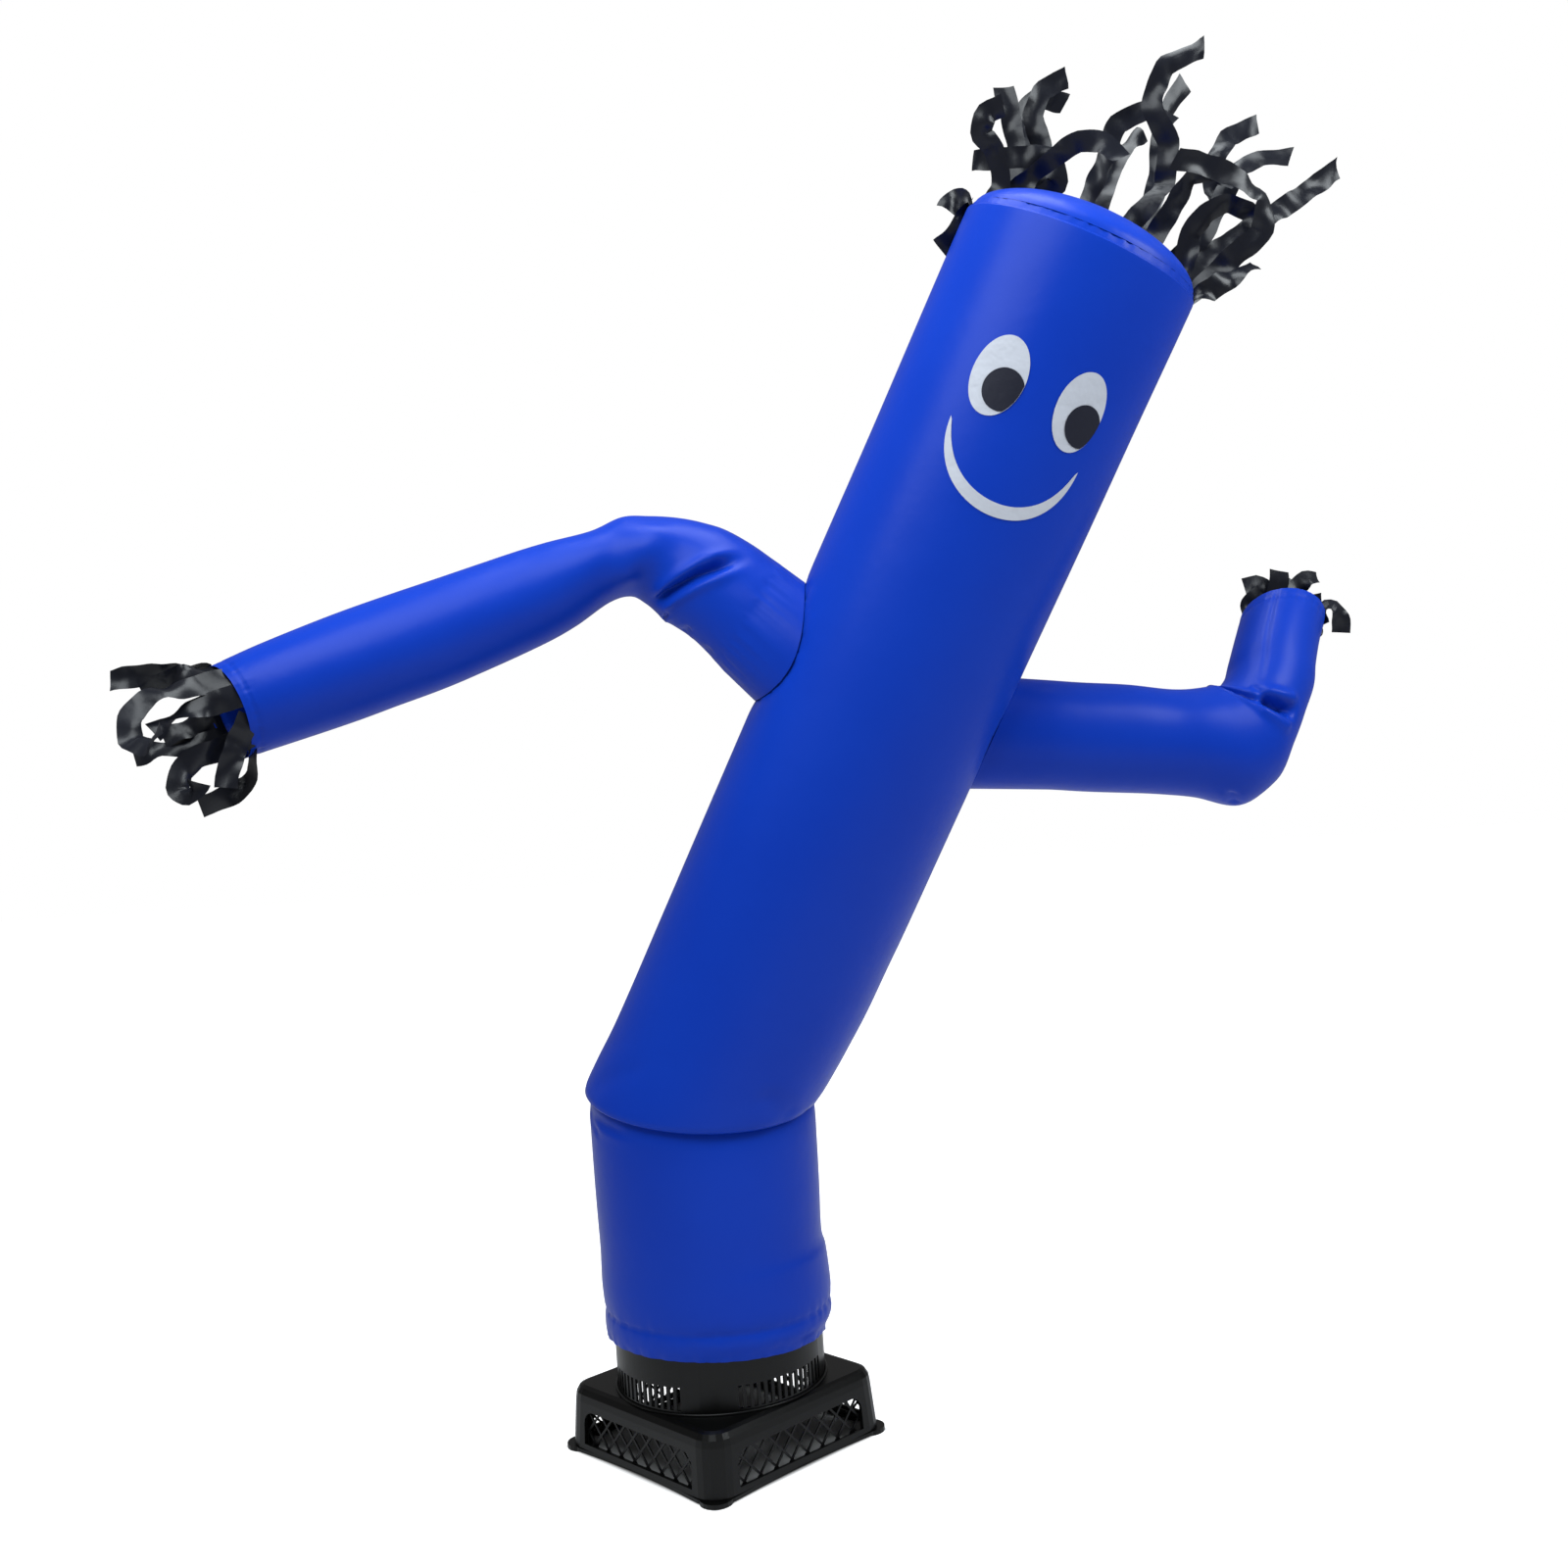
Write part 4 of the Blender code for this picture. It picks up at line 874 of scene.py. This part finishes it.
def ribbon_rows(strip, start, side, seed):
    """Rows of five points across a ribbon, from its root to its blunt tip."""
    corners = [start.copy()]
    heading = strip.head
    for n in range(RIBBON_LEGS):
        turn = (strip.bend_1, strip.bend_2, strip.bend_3)[min(2, 3 * n // RIBBON_LEGS)]
        heading += turn * 3.0 / RIBBON_LEGS
        lean, near = math.radians(heading), math.radians(strip.near)
        ahead = Vector((math.sin(lean) * math.cos(near), -math.sin(near), math.cos(lean) * math.cos(near)))
        corners.append(corners[-1] + ahead * strip.length / RIBBON_LEGS)
    steps = max(14, int(strip.length / 0.005))
    places = [curve_through(corners, RIBBON_LEGS * n / steps) for n in range(steps + 1)]
    rows = []
    for n, place in enumerate(places):
        share = n / steps
        ahead = (places[min(n + 1, steps)] - places[max(n - 1, 0)]).normalized()
        flat = Vector((ahead.z, 0.0, -ahead.x)).normalized()
        if flat.dot(side) < 0.0:
            flat = -flat
        side = side.lerp(flat, 0.16)
        side = (side - ahead * side.dot(ahead)).normalized()
        swing = strip.twist * 0.8 * math.sin(share * 5.0 + seed) * min(1.0, share * 4.0)
        swing += 55.0 * noise.noise(Vector((seed, share * strip.length * 22.0, 5.0))) * min(1.0, share * 3.0)
        turned = Matrix.Rotation(math.radians(swing), 3, ahead) @ side
        face = ahead.cross(turned)
        row = []
        for i in (-1.0, -0.5, 0.0, 0.5, 1.0):
            width = 1.0 - 0.10 * share + 0.10 * noise.noise(Vector((seed, share * strip.length * 60.0, i)))
            tip = 0.10 * i * max(0.0, share - 0.85) * strip.length
            curl = 0.0030 * (i * i - 0.4) * math.sin(seed * 5.0 + share * 9.0)
            crumple = 0.0065 * noise.noise(Vector((seed * 9.0 + i * 0.55, share * strip.length * 45.0, 2.0)))
            point = place + turned * (i * width * RIBBON_WIDTH / 2.0) + ahead * tip
            row.append(point + face * (curl + crumple) * min(1.0, share * 5.0))
        rows.append(row)
    return rows


def ribbons(name, section, strips, lift, out, node, band_from, band_to):
    """All ribbons of one seam and the narrow band that they are cut from."""
    normal, _, _ = ring_axes(section)
    verts, faces, places = [], [], []

    def add_rows(rows, width):
        """Adds one strip of cloth of a width, with its weave."""
        first = len(verts)
        count = len(rows[0])
        for row in rows:
            verts.extend(row)
        for n in range(len(rows) - 1):
            for i in range(count - 1):
                corner = (first + n * count + i, first + n * count + i + 1,
                          first + (n + 1) * count + i + 1, first + (n + 1) * count + i)
                faces.append(corner)
                across, along = i * width / (count - 1), n * ROW_STEP
                places.extend([(across, along), (across + width / count, along),
                               (across + width / count, along + ROW_STEP), (across, along + ROW_STEP)])

    band = []
    for up in (lift, lift + BAND_HEIGHT):
        row = []
        for i in range(BAND_COLUMNS + 1):
            angle = band_from + (band_to - band_from) * i / BAND_COLUMNS
            row.append(on_ring(section, angle, out) + normal * up)
        band.append(row)
    add_rows(band, BAND_WEAVE)
    for n, strip in enumerate(strips):
        root = on_ring(section, strip.root, out) + normal * (lift + ROOT_UP)
        side = on_ring(section, strip.root + 4.0, out) - on_ring(section, strip.root - 4.0, out)
        add_rows(ribbon_rows(strip, root, side.normalized(), n * 1.37 + 0.6), RIBBON_WIDTH)
    mesh = bpy.data.meshes.new(name)
    mesh.from_pydata(verts, [], faces)
    layer = mesh.uv_layers.new(name="cloth_metres")
    for loop, place in zip(layer.data, places):
        loop.uv = place
    piece = link(name, mesh, ribbon_nylon, [node])
    return piece


hair = ribbons("hair_ribbons", BODY[-1], HAIR, HAIR_LIFT, HAIR_OUT, "hair_fringe", -8.0, 188.0)
cuff_left = ribbons("cuff_ribbons_left", LEFT_ARM[-1], LEFT_CUFF, CUFF_LIFT, CUFF_OUT,
                    "cuff_fringe_left", -180.0, 180.0)
cuff_right = ribbons("cuff_ribbons_right", RIGHT_ARM[-1], RIGHT_CUFF, CUFF_LIFT, CUFF_OUT,
                     "cuff_fringe_right", -180.0, 180.0)
print("ribbons:", len(HAIR) + len(LEFT_CUFF) + len(RIGHT_CUFF))

# %% [markdown]
# The blower's shells are moulded parts whose CAD shape is already right, so each is copied and
# only its edges are rounded, as a mould leaves them. A small lip runs round the collar's foot.
# The window grilles are finer here than in the solids: bars 24.5 mm apart along the sill.

# %% Blower
HALF_SIDE = 0.1365
WINDOW_HALF, WINDOW_SILL, WINDOW_HEAD = 0.098, 0.0125, 0.0515
GRILLE_PITCH, GRILLE_RISE, BAR, BORDER = 0.0245, 0.0132, 0.0026, 0.004
GRILLE_BACK, BAR_DEPTH = 0.0072, 0.0016  # from the wall's outer face to the bars, and their depth
LATTICE_REACH = 9                        # bars of one family to either side of the middle
SMALLEST_CELL = 0.000006                 # square metres; smaller cells stay filled
SHARP_TURN = 48.0                        # degrees; a mould edge turns by more than this
GRILLES = ("grille_front_left", "grille_front_right", "grille_back_right", "grille_back_left")


def moulded_shell(node, edge):
    """A moulded part with the solid's shape, smooth faces and rounded edges."""
    solid = bpy.data.objects[node]
    mesh = solid.data.copy()
    mesh.transform(solid.matrix_world)
    mesh.materials.clear()
    shell = link(node + "_shell", mesh, black_abs, [node])
    mesh.set_sharp_from_angle(angle=math.radians(SHARP_TURN))
    bevel = shell.modifiers.new("mould_radius", "BEVEL")
    bevel.width, bevel.segments, bevel.limit_method = edge, 2, "ANGLE"
    bevel.angle_limit = math.radians(SHARP_TURN)
    return shell


for node, edge in (("blower_housing", 0.0014), ("blower_foot_frame", 0.0008), ("blower_collar", 0.0004)):
    moulded_shell(node, edge)

FOOT_LIP_RADIUS, FOOT_LIP_UP, FOOT_LIP = 0.1252, 0.0775, 0.0016
LIP_SIDES, LIP_COLUMNS = 12, 120
lip_grid = []
for n in range(LIP_SIDES + 1):
    turn = math.tau * n / LIP_SIDES
    radius = FOOT_LIP_RADIUS + FOOT_LIP * math.cos(turn)
    up = FOOT_LIP_UP + FOOT_LIP * math.sin(turn)
    ring = []
    for i in range(LIP_COLUMNS):
        angle = math.tau * i / LIP_COLUMNS
        ring.append(blower_axis + Vector((radius * math.cos(angle), radius * math.sin(angle), up)))
    lip_grid.append(ring)
lip_mesh = grid_mesh("collar_foot_lip", lip_grid, lambda n, i: (i * 0.0066, n * 0.0008))
link("collar_foot_lip", lip_mesh, black_abs, [])


def lattice(name, turn, node):
    """A window's grille: two families of slanted bars, cut out of one flat sheet."""
    half = WINDOW_HALF + BORDER
    low, high = WINDOW_SILL - BORDER, WINDOW_HEAD + BORDER
    bm = bmesh.new()
    outline = ((-half, low), (half, low), (half, high), (-half, high))
    bm.faces.new([bm.verts.new((x, 0.0, z)) for x, z in outline])
    slope = 2.0 * GRILLE_RISE / GRILLE_PITCH
    for hand in (-1.0, 1.0):
        for n in range(-LATTICE_REACH, LATTICE_REACH + 1):
            bmesh.ops.bisect_plane(bm, geom=bm.verts[:] + bm.edges[:] + bm.faces[:], dist=0.00001,
                                   plane_co=((n + 0.5) * GRILLE_PITCH, 0.0, WINDOW_SILL),
                                   plane_no=Vector((hand * slope, 0.0, 1.0)).normalized())
    inset = bmesh.ops.inset_individual(bm, faces=bm.faces[:], thickness=BAR / 2.0, use_even_offset=True)
    rims = set(inset["faces"])
    holes = [face for face in bm.faces if face not in rims and face.calc_area() > SMALLEST_CELL]
    bmesh.ops.delete(bm, geom=holes, context="FACES_ONLY")
    turned = Matrix.Rotation(math.radians(HOUSING_YAW + turn), 4, "Z")
    outward = Matrix.Translation((0.0, -(HALF_SIDE - GRILLE_BACK), 0.0))
    place = Matrix.Translation(blower_axis) @ turned @ outward
    bm.transform(place)
    mesh = bpy.data.meshes.new(name)
    bm.to_mesh(mesh)
    bm.free()
    grille = link(name, mesh, grille_abs, [node], smooth=False)
    depth = grille.modifiers.new("bar_depth", "SOLIDIFY")
    depth.thickness = BAR_DEPTH
    return grille


for n, node in enumerate(GRILLES):
    lattice(node + "_bars", 90.0 * n, node)
print("window grilles:", len(GRILLES))
